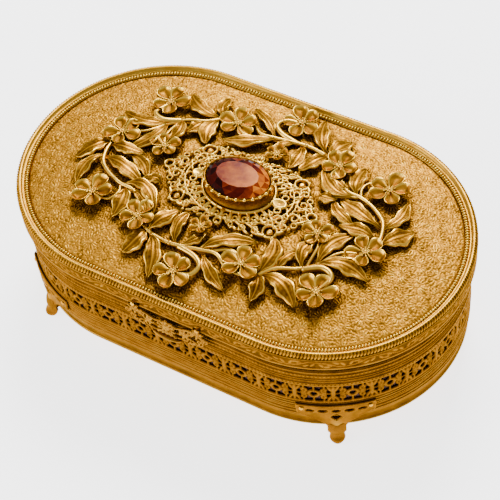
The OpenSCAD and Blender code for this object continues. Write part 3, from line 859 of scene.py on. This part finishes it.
def brace_loops():
    """A small scroll from the leg back to the base's underside."""
    path = smooth_path([(BODY_RADIUS + 1.2, 4.4), (BODY_RADIUS - 1.2, 3.9), (TUB_RADIUS - 1.6, 5.6),
                        (TUB_RADIUS - 1.4, 7.6), (TUB_RADIUS + 0.2, base_low[2] - 0.1)], 18)
    return tube_loops(np.c_[path[:, 0], np.zeros(len(path)), path[:, 1]], 1.1, 12)


def tube_loops(path, radius, sides):
    """Round loops along a path, with radius a number or one for each point."""
    path = np.asarray(path, float)
    along = np.gradient(path, axis=0)
    along /= np.linalg.norm(along, axis=1)[:, None]
    side = np.cross(along, [0.0, 0.0, 1.0])
    weak = np.linalg.norm(side, axis=1) < 1e-3
    side[weak] = [0.0, 1.0, 0.0]
    side /= np.linalg.norm(side, axis=1)[:, None]
    other = np.cross(side, along)
    angle = np.linspace(0, TAU, sides, endpoint=False)[None, :, None]
    around = np.cos(angle) * side[:, None, :] + np.sin(angle) * other[:, None, :]
    return path[:, None, :] + around * np.broadcast_to(radius, len(path))[:, None, None]


def make_feet():
    """Four feet, mirrored from one; each has a pierced bracket, a leg, a toe and a brace."""
    plate, faces, lift = relief(bracket_field, (-20, 5), (20, 29), 0.4, bracket_height)
    inner = BODY_RADIUS + 0.02
    turn = plate[:, 0] / inner
    out = inner + plate[:, 2]
    solids = [(np.stack([out * np.cos(turn), out * np.sin(turn), plate[:, 1]], -1), faces, lift)]
    for loops, level in ((leg_loops(), 0.42), (brace_loops(), 0.25)):
        solids.append((loops.reshape(-1, 3), tube_faces(*loops.shape[:2]), level))
    for name, side_x, side_y in (("front_left", -1, -1), ("front_right", 1, -1),
                                 ("back_left", -1, 1), ("back_right", 1, 1)):
        foot = Parts()
        place = Matrix.Diagonal((side_x, side_y, 1)) @ Matrix.Rotation(FOOT_ANGLE, 3, "Z")
        mirrored = side_x * side_y < 0
        for points, skin, raised in solids:
            moved = points @ np.array(place).T + [side_x * END_X, 0, 0]
            foot.add(moved, [face[::-1] for face in skin] if mirrored else skin, raised)
        foot.finish("foot_" + name + "_cast", gilt_foot_shaded, "box", ["foot_" + name])


make_feet()

# ---------------------------------------------------------------- sprigs of leaves and flowers

# The front sprig in millimetres; the back one is the same turned half round.
STEMS = [
    [(-72, 2), (-71, -6), (-68, -13), (-61, -18), (-53, -21), (-45, -22), (-36, -29), (-25, -39)],
    [(-25, -39), (-14, -40), (1, -37.5), (9, -36.5), (16, -40.5), (24, -41), (31, -38)],
    [(31, -38), (37, -32), (46, -28), (53, -22)],
    [(-53, -21), (-51, -26), (-53, -31), (-60, -32)],
    [(-25, -39), (-30, -37), (-34, -34)],
    [(-10, -39.5), (0, -41.5), (5, -45.5), (3, -51), (-4, -53)],
    [(4, -37), (12, -32.5), (18, -33), (22, -37)],
    [(48, -27), (56, -23), (62, -25.5), (60, -34)],
    [(53, -22), (59, -13), (68, -8)],
    [(49, -25), (49, -14), (46, -8)],
    [(-52, -21), (-45, -17), (-38, -13)],
]
# Radius of each stem at its base; a stem thins towards its end.
STEM_RADIUS = [1.15, 1.15, 1.15, 0.8, 0.8, 1.5, 1.1, 1.7, 0.8, 0.8, 0.8]
# Where a post holds the sprig to the plate.
POSTS = [STEMS[0][2], STEMS[0][5], STEMS[1][1], STEMS[1][4], STEMS[2][1]]
# Base, middle, tip and width of each leaf.
LEAVES = [
    ((-72.5, 0), (-78.5, -7), (-83, -15), 9.5), ((-70, -9), (-76, -17), (-73.5, -29), 6.5),
    ((-70, -2), (-62, -2.5), (-52, -1), 7.5), ((-69, -9.5), (-56, -11.5), (-45, -16), 8.5),
    ((-59, -4), (-49, -6), (-43, -13), 6.5), ((-35, -13), (-38.5, -12), (-44, -14.5), 6.5),
    ((-50, -22), (-46, -29), (-46.5, -39), 9), ((-47, -22), (-38, -24), (-32.5, -31), 5),
    ((-50, -20), (-39, -16.5), (-29, -30), 7.5), ((-28, -38), (-28.5, -45), (-32, -53), 10),
    ((-27, -38), (-23.5, -31), (-19, -23), 8), ((-24.5, -40), (-17.5, -47), (-14, -60), 8.5),
    ((-12, -39), (-16, -31), (-14, -22), 7), ((-9, -39), (-3.5, -35), (-1, -29), 4.5),
    ((1, -37), (9, -28.5), (23, -24), 7.5), ((3, -38.5), (10, -46.5), (21, -51.5), 6),
    ((31, -37), (34, -27), (29, -18), 9), ((31, -38.5), (35, -43), (35, -51.5), 7.5),
    ((33, -37.5), (44, -37), (54, -46), 9), ((38, -32), (38, -26), (42, -20), 6),
    ((48, -27), (43, -19), (47, -11), 7), ((53, -22), (52.5, -10), (61, 0), 8),
    ((53, -22), (64, -16), (77, -20), 8.5),
]
# Middle of each flower and its reach.
FLOWERS = [((-62.5, -31), 9.6), ((-35, -34), 8.8), ((-4.5, -53), 9.8), ((22, -37), 9.6),
           ((59.5, -35.5), 9.6), ((69.5, -7), 9.2), ((45.5, -7.5), 7.4), ((-5, -27), 5.2)]


def leaf_loops(base, middle, tip, width, lift):
    """A leaf with a raised midrib and turned-up lobed edges, as loops and how far they are raised."""
    rows, half_columns = 26, 13
    base, middle, tip = (np.array(p, float) for p in (base, middle, tip))
    t = np.linspace(0, 1, rows)[:, None]
    bend = 1.4 * middle - 0.4 * (base + tip) / 2
    path = (1 - t) ** 2 * base + 2 * t * (1 - t) * bend + t ** 2 * tip
    along = np.gradient(path, axis=0)
    along /= np.linalg.norm(along, axis=1)[:, None]
    side = np.stack([-along[:, 1], along[:, 0]], -1)
    swell = np.sin(math.pi * t[:, 0] ** 1.2) ** 0.8
    lobes = 1 - 0.20 * np.abs(np.sin(math.pi * (t[:, 0] * 3 + 0.15))) ** 3
    half = np.maximum(0.54 * width * swell * lobes, 0.45 + 0.3 * (1 - t[:, 0]))
    across = np.linspace(-1, 1, half_columns)
    plan = path[:, None] + side[:, None] * (across[None, :, None] * half[:, None, None])
    arch = lift + 2.4 * np.sin(math.pi * unit(t) ** 0.8) * min(width / 7, 1) + 0.9 * t ** 3
    lip = bell(np.abs(across) - 0.86, 0.15)
    midrib = bell(across, 0.1)
    ribs = bell(np.abs(across) - 0.47, 0.1) * unit(half[:, None] / 2.2 - 0.4)
    beside = bell(np.abs(across) - 0.24, 0.09) + bell(np.abs(across) - 0.66, 0.08)
    dish = 0.55 * lip + 0.30 * midrib + 0.08 * ribs - 0.24 * beside
    dish = dish + 0.16 * half[:, None] * np.abs(across) - 0.34 * half[:, None] * across ** 4
    dish = dish + 0.8 * np.sin(1.3 * TAU * t + base[0]) * across * np.minimum(half[:, None] / 3, 1)
    veined = (np.abs(across) > 0.2) * (half[:, None] > 1.2)
    veins = 0.05 * veined * np.cos(TAU * (t * 9 - np.abs(across) * 0.9))
    top = arch + dish + veins
    thin = np.clip(half[:, None] * 0.35, 0.25, 0.55) * (1 - 0.45 * np.abs(across))
    ground = dome_over(plan[..., 0], plan[..., 1])
    upper = np.concatenate([plan, (ground + top)[..., None]], -1)
    lower = np.concatenate([plan, (ground + top - thin - 0.25)[..., None]], -1)[:, ::-1]
    raised_top = 0.22 + 0.70 * lip + 1.2 * veins + 0.34 * midrib + 0.08 * ribs - 0.20 * beside
    # The leaf's underside is set dark: painted shade beneath it.
    raised = np.concatenate([np.broadcast_to(raised_top, top.shape), np.full(top.shape, 0.15)], 1)
    return np.concatenate([upper, lower], 1)[:, ::-1], raised[:, ::-1]


def petal_loops(centre, angle, reach, lift):
    """A round spoon-shaped petal from a flower's middle outwards."""
    rows, half_columns = 18, 13
    widest = 0.62
    t = np.sin(np.linspace(0, math.pi / 2, rows))[:, None]
    away = (0.10 + 0.90 * t) * reach
    end = np.sqrt(unit(1 - ((t - widest) / (1.004 - widest)) ** 2))
    start = 0.24 + 0.76 * np.sin(unit(t / widest) * math.pi / 2) ** 1.7
    half = np.maximum(reach * 0.38 * np.where(t > widest, end, start), 0.12)
    across = np.linspace(-1, 1, half_columns)[None, :]
    out = np.array([math.cos(angle), math.sin(angle)])
    side = np.array([-out[1], out[0]])
    sway = 0.10 * reach * t ** 2 * math.sin(7 * angle)
    plan = centre + out * (away + 0 * across)[..., None] + side * (across * half + sway)[..., None]
    rim = unit(np.maximum(np.abs(across), (t - widest) / (1 - widest)))
    lip = bell(rim - 0.86, 0.15)
    crease = bell(across, 0.2) * unit(1.2 - t)
    fluting = 0.10 * np.cos(across * 13) * t * (1 - rim)
    cup = 1.7 * rim ** 2.6 * unit(t * 1.6) + 0.32 * lip
    height = lift + cup - 0.35 * crease + fluting - 0.25 * t + 0.4 * math.sin(5 * angle) * t
    ground = dome_over(centre[0], centre[1])
    upper = np.concatenate([plan, (ground + height)[..., None]], -1)
    lower = np.concatenate([plan, (ground + height - 0.8)[..., None]], -1)[:, ::-1]
    level = 0.22 + 0.66 * lip + 0.14 * rim - 0.2 * crease + 1.2 * fluting
    # The petal's underside is set dark: painted shade beneath it.
    raised = np.concatenate([np.broadcast_to(level, height.shape), np.full(height.shape, 0.05)], 1)
    return np.concatenate([upper, lower], 1)[:, ::-1], raised[:, ::-1]


def turned(places, sign):
    """Places in plan, turned half round the box's middle where sign is -1."""
    return np.asarray(places, float) * sign


def make_sprig(name, sign, nodes):
    """One cast sprig: stems and leaves, with the posts that hold it."""
    parts = Parts()
    sides = 12
    # Painted light on the stems: each is set brighter on its upper side and darker beneath.
    shine = 0.6 + 0.25 * np.sin(np.linspace(0, TAU, sides, endpoint=False))
    for index, (points, radius) in enumerate(zip(STEMS, STEM_RADIUS)):
        plan = smooth_path(turned(points, sign), 8 * len(points))
        t = np.linspace(0, 1, len(plan))
        lift = 1.3 + 0.9 * np.sin(math.pi * t) + (0.8 * t if index > 2 else 0)
        path = np.c_[plan, dome_over(*plan.T) + lift]
        parts.loft(tube_loops(path, radius * (1.0 - 0.25 * t), sides), shine)
    for number, (*places, width) in enumerate(LEAVES):
        places = [turned(place, sign) for place in places]
        parts.loft(*leaf_loops(*places, width, 1.3 + 0.35 * (number % 3)))
    for x, y in turned(POSTS, sign):
        ground = dome_over(x, y)
        parts.ball((x, y, ground + 1.9), 1.5, squash=0.8, raised=0.7)
        post = [(x, y, ground + up) for up in (-0.1, 0.7, 1.4)]
        parts.loft(tube_loops(post, 0.8, 10), 0.2)
    return parts.finish(name, gilt_cast, "lid", nodes)


def make_flowers(name, sign, nodes):
    """The sprig's five-petalled flowers with beaded middles."""
    parts = Parts()
    lift = 3.4
    for number, (place, reach) in enumerate(FLOWERS):
        x, y = turned(place, sign)
        ground = float(dome_over(x, y))
        turn = 0.4 + 0.9 * number
        for i in range(5):
            size = reach * (1.0 + 0.07 * math.sin(2.3 * i + number))
            spread = 0.10 * math.sin(4.1 * i + 2 * number)
            angle = turn + spread + TAU * i / 5
            parts.loft(*petal_loops(np.array([x, y]), angle, size, lift + 0.15 * (i % 2)))
        middle = np.array([x, y, ground + lift + 0.45])
        parts.ball(middle, 1.1, squash=0.8, raised=0.75)
        for i in range(10):
            add_stamen(parts, middle, turn + TAU * (i + 0.5) / 10)
        pin = [(x, y, ground + up) for up in (-0.1, 1.6, 3.2)]
        parts.loft(tube_loops(pin, 0.75, 12), 0.2)
    return parts.finish(name, gilt_bright, "lid", nodes)


def add_stamen(parts, middle, angle):
    """A thin tapering ray from a flower's middle, with a bead at its end."""
    way = np.array([math.cos(angle), math.sin(angle), 0.0])
    path = [middle + way * out + [0, 0, up] for out, up in ((0.6, 0.3), (1.7, 0.15), (2.7, -0.1))]
    parts.loft(tube_loops(path, (0.34, 0.28, 0.14), 6), 0.85)
    parts.ball(path[-1], 0.36, detail=1, raised=0.95)


sprigs = [make_sprig("sprig_front", 1, ["wreath_front"]),
          make_sprig("sprig_back", -1, ["wreath_back"]),
          make_flowers("blossoms_front", 1, ["flowers_front"]),
          make_flowers("blossoms_back", -1, ["flowers_back"])]

# ---------------------------------------------------------------- medallion, setting and stone

STONE_X = (stone_high[0] - stone_low[0]) / 2
STONE_Y = (stone_high[1] - stone_low[1]) / 2


def medallion_field(x, y):
    """The openwork oval, in plan, symmetric both ways: wires, scrolls, rings and fans."""
    x, y = np.abs(x), np.abs(y)
    lines = [np.abs(ellipse(x, y, (0, 0), 18.2, 14.0)) - 0.8,
             np.abs(ellipse(x, y, (0, 0), 27.6, 18.4)) - 0.5]
    lines += [stroke(x, y, scroll(*curl), half) for *curl, half in MEDALLION_SCROLLS]
    lines += [ring(x, y, (px, py), radius, half) for px, py, radius, half in MEDALLION_RINGS]
    lines += [ellipse(x, y, (px, py), *leaf) for px, py, *leaf in MEDALLION_LEAVES]
    for i in range(6):
        angle = math.radians(90 - 12 * i)
        spot = (21.3 * math.cos(angle), 16.3 * math.sin(angle))
        lines.append(ellipse(x, y, spot, 2.5, 0.95, angle))
        angle -= math.radians(6)
        lines.append(ring(x, y, (22.6 * math.cos(angle), 17.0 * math.sin(angle)), 1.0, 0.42))
    return union(*lines)


def medallion_height(x, y, depth):
    """Rounded wires, with the petals beside the stone hollowed."""
    x, y = np.abs(x), np.abs(y)
    hollow = 0.9 * unit(1.1 - np.hypot((x - 21.6) / 3.6, y / 2.6))
    cup = 0.7 * unit(1.1 - np.hypot((x - 25.0) / 2.6, (y - 15.6) / 2.6))
    return 0.25 + 1.15 * np.sqrt(unit(depth / 0.75)) - hollow - cup


# Centre, radius, starting angle, turns, tail and half width of each scroll of a quarter.
MEDALLION_SCROLLS = [
    ((25.6, 8.6), 3.1, 2.4, -1.15, (19.0, 5.6), 0.55), ((20.4, 12.2), 2.2, 0.6, 1.1, (15.6, 11.0), 0.5),
    ((31.6, 4.4), 2.9, 2.6, -1.2, (26.0, 1.0), 0.5), ((29.6, 10.6), 2.1, 3.6, 1.1, (25.8, 13.2), 0.5),
    ((35.4, 2.0), 2.2, 1.8, 1.1, (32.0, 0.4), 0.45), ((18.6, 17.6), 2.2, 0.2, -1.2, (12.6, 16.2), 0.5),
    ((12.2, 19.6), 1.9, 0.0, 1.1, (8.4, 17.6), 0.45), ((6.4, 20.0), 1.7, 3.1, -1.0, (2.0, 17.6), 0.45)]
# Place, radius and half width of each ring.
MEDALLION_RINGS = [(25.0, 15.6, 3.3, 0.65), (38.4, 0, 2.3, 0.7), (0, 20.6, 1.7, 0.6), (30.6, 1.2, 1.3, 0.45),
                   (22.6, 4.0, 1.5, 0.5), (16.4, 14.6, 1.2, 0.45), (33.4, 7.9, 1.3, 0.5),
                   (27.8, 5.0, 1.0, 0.4)]
# Place, half length, half width and turn of each leaf.
MEDALLION_LEAVES = [(21.6, 0, 4.0, 2.9, 0.0), (25.0, 15.6, 1.5, 1.5, 0.0), (35.0, 5.6, 2.4, 0.9, -0.6),
                    (29.2, 14.4, 2.4, 1.0, -0.8), (21.6, 19.2, 2.3, 0.9, -0.2), (15.2, 20.6, 2.0, 0.8, 0.3),
                    (24.4, 11.6, 2.0, 0.8, 0.9), (28.6, 8.0, 1.6, 0.8, 1.6), (9.4, 20.8, 1.7, 0.75, 0.4)]
# Place and radius of each ball.
MEDALLION_BALLS = [(40.6, 0, 1.1), (27.6, 18.2, 1.0), (18.4, 21.0, 0.8), (0, 21.4, 0.9), (36.6, 5.0, 0.8),
                   (32.2, 10.6, 0.9), (7.4, 21.0, 0.7), (29.0, 2.6, 0.7), (22.8, 9.4, 0.7)]


def make_medallion():
    """The openwork oval, lightly domed, with balls on its lobes."""
    half_x, half_y = 42, 23
    low, high = (-half_x, -half_y), (half_x, half_y)
    points, faces, lift = relief(medallion_field, low, high, 0.27, medallion_height)
    base = openwork_low[2]

    def fall(x, y):
        return 2.4 * ((x / half_x) ** 2 + (y / half_y) ** 2)

    points[:, 2] += base + 0.9 - fall(points[:, 0], points[:, 1])
    parts = Parts()
    parts.add(points, faces, 0.1 + 0.9 * lift)
    for x, y, size in MEDALLION_BALLS:
        for sx in ((-1, 1) if x else (1,)):
            for sy in ((-1, 1) if y else (1,)):
                parts.ball((sx * x, sy * y, base + 1.3 - fall(x, y)), size, squash=0.8, raised=0.95)
    return parts.finish("medallion_openwork", gilt_bright, "lid", ["medallion"])


def oval_loop(half_x, half_y, height, count):
    """Points round an ellipse, with its height as the third measure."""
    angle = np.linspace(0, TAU, count, endpoint=False)
    return np.stack([half_x * np.cos(angle), half_y * np.sin(angle), np.full(count, height)], -1)


def make_setting():
    """The stone's cup: a stepped oval wall with a wire foot and a row of beads on top."""
    low, high = cup_low[2], cup_high[2]
    count = 26
    # How far each step of the wall stands out from the stone's edge, and how high it lies.
    steps = [(1.2, 0.0), (1.5, 0.4), (1.3, 0.8), (0.9, 1.2), (0.6, 2.2), (0.6, 3.4), (0.8, 4.6), (1.2, 5.6),
             (1.4, 6.1), (1.2, 6.4), (0.7, 6.5), (0.35, 6.2), (-0.2, 3.0), (-0.6, 0.2)]
    scale = (high - low) / 6.5
    around = 120
    loops = np.array([oval_loop(STONE_X + out, STONE_Y + out, low + z * scale, around) for out, z in steps])
    flute = 1 + 0.012 * np.cos(count * np.linspace(0, TAU, around, endpoint=False))
    loops[4:8, :, :2] *= flute[None, :, None]
    cup = Parts()
    cup.loft(loops, 0.26, closed=True)
    cup.finish("setting_cup", gilt_cast, "lid", ["bezel_cup"])
    beads = Parts()
    middle = (beads_low + beads_high) / 2
    radius = (beads_high[2] - beads_low[2]) / 2
    half_x, half_y = (beads_high[:2] - beads_low[:2]) / 2 - radius
    for centre in oval_loop(half_x, half_y, middle[2], count):
        beads.ball(centre, radius * 0.97, detail=3, raised=1.2)
    beads.finish("setting_beads", gilt_bright, "lid", ["bezel_beads"])


def make_stone():
    """An oval cut stone: flat table, two rows of crown facets, girdle and pavilion."""
    top, low = stone_high[2], stone_low[2]
    girdle = top - 2.4
    # Share of the half length and half width, height, number of corners and turn of each row.
    rows = [(0.68, 0.62, top, 16, 0.0), (0.87, 0.83, top - 1.0, 16, 0.5), (1.0, 1.0, girdle, 32, 0.0),
            (1.0, 1.0, girdle - 0.45, 32, 0.0), (0.62, 0.56, girdle - 2.8, 16, 0.5),
            (0.25, 0.2, low, 8, 0.0)]
    cut = bmesh.new()
    for wide, tall, height, count, shift in rows:
        for i in range(count):
            angle = TAU * (i + shift) / count
            x = STONE_X * wide * math.cos(angle) * MM
            y = STONE_Y * tall * math.sin(angle) * MM
            cut.verts.new((x, y, height * MM))
    bmesh.ops.convex_hull(cut, input=cut.verts)
    bmesh.ops.dissolve_limit(cut, angle_limit=0.02, verts=cut.verts, edges=cut.edges)
    bmesh.ops.recalc_face_normals(cut, faces=cut.faces)
    mesh = bpy.data.meshes.new("stone")
    cut.to_mesh(mesh)
    cut.free()
    # Painted light on the facets: a facet is lighter the more it faces +x, with a random glint each, and the
    # table is a flat middle tone.
    tone_and_painted_light = mesh.attributes.new("facet", "FLOAT", "FACE")
    sparkle = np.random.default_rng(3).uniform(-0.22, 0.30, len(mesh.polygons))
    for face, spark in zip(mesh.polygons, sparkle):
        flat = face.normal.z > 0.97
        towards_light = 0.35 * face.normal.x + 0.10 * face.normal.y
        tone_and_painted_light.data[face.index].value = 0.62 if flat else max(0.02, 0.26 + towards_light + spark)
    place_piece("stone", mesh, stone_glass, "lid", ["jewel"])


medallion = make_medallion()
make_setting()
make_stone()

make_plate(np.array([v.co[:] for piece in sprigs + [medallion] for v in piece.data.vertices]) / MM)

# ---------------------------------------------------------------- lift ornament

# Centre, radius, starting angle, turns and tail of each scroll of a half.
LIFT_SCROLLS = [((13.2, 3.6), 2.2, 3.2, 1.1, (5.0, 2.4)), ((17.6, 5.8), 2.3, 3.8, -1.1, (11.0, 1.8)),
                ((13.0, 9.8), 1.7, 0.4, 1.2, (9.0, 4.4)), ((20.6, 8.0), 1.5, 2.2, 1.1, (17.0, 4.0))]


def lift_field(x, y):
    """The pierced floral plaque on the front, symmetric side to side."""
    x = np.abs(x)
    lines = [disc(x, y, (0, 6.6), 2.4), ellipse(x, y, (0, 2.4), 6.4, 1.5),
             stroke(x, y, [(0, 10.2), (6.0, 9.0), (12.6, 11.2), (17.0, 11.2)], 0.55)]
    for i in range(7):
        angle = math.pi / 2 - i * 0.62
        spot = (3.6 * math.cos(angle), 6.6 + 3.4 * math.sin(angle))
        lines.append(ellipse(x, y, spot, 1.7, 0.95, angle))
    for centre, size in (((9.4, 7.2), 3.1), ((17.0, 11.2), 3.3)):
        lines.append(disc(x, y, centre, 0.34 * size))
        for i in range(6):
            angle = TAU * i / 6 + 0.3
            spot = (centre[0] + 0.62 * size * math.cos(angle), centre[1] + 0.62 * size * math.sin(angle))
            lines.append(ellipse(x, y, spot, 0.44 * size, 0.27 * size, angle))
    lines += [stroke(x, y, scroll(*curl), 0.5) for curl in LIFT_SCROLLS]
    return union(*lines)


def lift_height(x, y, depth):
    """Rounded petals and wires."""
    ripple = 0.16 * np.cos(x / 0.35) * np.cos(y / 0.4)
    return 0.35 + 1.15 * np.sqrt(unit(depth / 0.9)) + ripple * unit(depth / 0.4)


def make_lift():
    """The floral plaque with its thumb lip, standing on the skirt's face."""
    low = lift_low[2]
    points, faces, lift = relief(lift_field, (-23, 0), (23, 17), 0.26, lift_height)
    tall = (lift_high[2] - low) / 15.6
    placed = np.stack([points[:, 0], -END_RADIUS - points[:, 2] - 0.02, low + points[:, 1] * tall], -1)
    parts = Parts()
    parts.add(placed, faces, 0.05 + 0.85 * lift)
    back = -END_RADIUS - 0.6
    start = -END_RADIUS - 1.0
    front = lift_low[1] + 0.05
    z = low + 1.75
    lip = []
    for x in np.linspace(-7.6, 7.6, 26):
        out = start + (front - start) * math.sqrt(1 - (x / 8.0) ** 2)
        lip.append([(x, back, z - 0.55), (x, out + 0.3, z - 0.6), (x, out, z - 0.1),
                    (x, out + 0.15, z + 0.55), (x, back, z + 0.45)])
    parts.loft(lip, 0.6)
    parts.finish("lift_plaque", gilt_foot_shaded, "lid", ["lift_ornament"])


make_lift()

# ---------------------------------------------------------------- soft linings


def pad_profile(radius, low, high):
    """Rounded section of a pad, from its middle out, over the top and back underneath."""
    soft = 2.0
    top = [(r, high - 0.9 * (r / radius) ** 4) for r in np.linspace(0.2, radius - soft, 26)]
    edge = arc((radius - soft, high - 0.9 - soft), soft, 80, 0, 6)
    return top + edge + [(radius, low + 0.6), (radius - 0.6, low)]


def make_floor_pad():
    """The padded velvet floor: crowned, with soft hollows where it is sewn down."""
    low, high = box_of("floor_pad")
    rows = pad_profile(high[1], low[2], high[2])
    around = 300
    along = np.linspace(0, GIRTH, around, endpoint=False)
    loops = np.array([on_wall(along, r, z) for r, z in rows + [(0.2, low[2])]])
    x, y = loops[..., 0], loops[..., 1]
    top = (np.arange(len(loops)) < 30)[:, None]
    button = sum(bell(np.hypot(x - bx, y - by), 7) for bx in (-60, -20, 20, 60) for by in (-25, 25))
    ripple = 0.12 * np.sin(x / 9) * np.sin(y / 8 + 1)
    loops[..., 2] -= top * (1.2 * button - ripple)
    faces = oval_faces(len(loops), around)
    pad = add_mesh("floor_pad_velvet", loops, faces, wine_velvet, "box", ["floor_pad"])


def make_lid_pad():
    """The padded velvet under the lid, following the dome, quilted from beneath."""
    radius = box_of("lid_lining")[1][1]
    around = 300
    along = np.linspace(0, GIRTH, around, endpoint=False)
    rows = [(r, dome_at(r) - 1.2) for r in np.linspace(0.2, radius, 14)]
    rows += [(radius, dome_at(radius) - 2.4)]
    rows += [(r, dome_at(r) - 3.3 + 0.9 * (r / radius) ** 6) for r in np.linspace(radius - 1.2, 0.2, 30)]
    loops = np.array([on_wall(along, r, z) for r, z in rows])
    x, y = loops[..., 0], loops[..., 1]
    lower = (np.arange(len(loops)) > 16)[:, None]
    quilt = sum(bell(np.mod(slant / 22 + 0.5, 1) - 0.5, 0.06) for slant in (x + y, x - y))
    loops[..., 2] += lower * 0.55 * np.clip(quilt, 0, 1.2)
    faces = oval_faces(len(loops), around)
    pad = add_mesh("lid_pad_velvet", loops, faces, wine_velvet, "lid", ["lid_lining"])


def make_wall_lining():
    """Velvet over thin padding round the inside of the tub."""
    low, high = box_of("wall_lining")
    inner = TUB_INNER - 1.5
    outer = TUB_INNER - 0.02
    profile = ([(outer, low[2]), (outer, high[2] - 0.5)]
               + arc((outer - 0.6, high[2] - 0.7), 0.7, 80, 170, 6)
               + [(inner, z) for z in np.linspace(high[2] - 1.6, low[2], 14)])

    def ripple(along, points):
        inside = points[None, :, 0] < inner + 0.1
        wave = 0.12 * np.sin(along / 6) * np.sin(points[None, :, 1] / 7)
        return inside * np.abs(wave), 0.0, 0.0

    node = "wall_lining"
    lining = band("wall_lining_velvet", profile, 500, wine_velvet, "box", [node], ripple)


make_floor_pad()
make_lid_pad()
make_wall_lining()

# ---------------------------------------------------------------- plain metal kept from the frame

KEPT_PIECES = {
    aged_brass: ["inner_tub", "bottom_plate", "hinge_leaf_body", "hinge_leaf_lid", "hinge_pin"],
    plain_gilt: ["foot_rivets", "hinge_rivets_body", "hinge_rivets_lid", "lift_rivets", "medallion_rivets"],
}
for material, names in KEPT_PIECES.items():
    for name in names:
        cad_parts[name].data.materials.clear()
        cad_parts[name].data.materials.append(material)

# ---------------------------------------------------------------- floor, light and camera


def make_floor():
    size = 25.0
    mesh = bpy.data.meshes.new("floor")
    corners = [(-size, -size, 0), (size, -size, 0), (size, size, 0), (-size, size, 0)]
    mesh.from_pydata(corners, [], [(0, 1, 2, 3)])
    floor = bpy.data.objects.new("floor", mesh)
    bpy.context.scene.collection.objects.link(floor)
    made = Nodes("floor_paper")
    paper = made.ramp(made.noise(6, 2), [(0.3, (0.86, 0.86, 0.87)), (0.7, (0.89, 0.89, 0.90))])
    made.link(paper, made.shader.inputs["Base Color"])
    made.set(Roughness=0.9, Emission_Strength=3.0)
    made.shader.inputs["Emission Color"].default_value = (1, 1, 1, 1)
    mesh.materials.append(made.material)


def area_light(name, place, size, power, target=(0, 0, 0.05)):
    """A square light at a place in metres, aimed at the box."""
    data = bpy.data.lights.new(name, "AREA")
    data.energy = power
    data.size = size
    light = bpy.data.objects.new(name, data)
    light.location = place
    aim = Vector(target) - Vector(place)
    light.rotation_euler = aim.to_track_quat("-Z", "Y").to_euler()
    bpy.context.scene.collection.objects.link(light)


def make_light():
    world = bpy.data.worlds.new("studio")
    world.use_nodes = True
    world.node_tree.nodes["Background"].inputs["Color"].default_value = (0.95, 0.96, 1.0, 1)
    world.node_tree.nodes["Background"].inputs["Strength"].default_value = 0.6
    bpy.context.scene.world = world
    area_light("key", (-0.3, 0.86, 1.12), 0.5, 25)
    area_light("fill", (-1.1, -1.1, 0.8), 0.8, 17)


# Where the camera stands: its bearing and height round the box, its distance and its small turns.
CAMERA_AZIMUTH = math.radians(35.385)
CAMERA_ELEVATION = math.radians(49.723)
CAMERA_ROLL = math.radians(-7.0425)
CAMERA_YAW = -0.0022
CAMERA_PITCH = -0.0344
CAMERA_DISTANCE = 6.0559 * (END_X + END_RADIUS)
CAMERA_LENS = 106.4


def make_camera():
    az, el = CAMERA_AZIMUTH, CAMERA_ELEVATION
    back = Vector((math.sin(az) * math.cos(el), -math.cos(az) * math.cos(el), math.sin(el)))
    right = Vector((math.cos(az), math.sin(az), 0))
    up = back.cross(right)
    place = (back * CAMERA_DISTANCE + Vector((0, 0, RIM_EDGE))) * MM
    yaw = Matrix.Rotation(CAMERA_YAW, 3, up)
    back, right = yaw @ back, yaw @ right
    pitch = Matrix.Rotation(CAMERA_PITCH, 3, right)
    back, up = pitch @ back, pitch @ up
    roll = Matrix.Rotation(CAMERA_ROLL, 3, back)
    right, up = roll @ right, roll @ up
    data = bpy.data.cameras.new("camera")
    data.sensor_width = 36
    data.lens = CAMERA_LENS
    data.clip_start = 0.01
    camera = bpy.data.objects.new("camera", data)
    turn = Matrix((right, up, back)).transposed().to_4x4()
    camera.matrix_world = Matrix.Translation(place) @ turn
    bpy.context.scene.collection.objects.link(camera)
    bpy.context.scene.camera = camera


make_floor()
make_light()
make_camera()
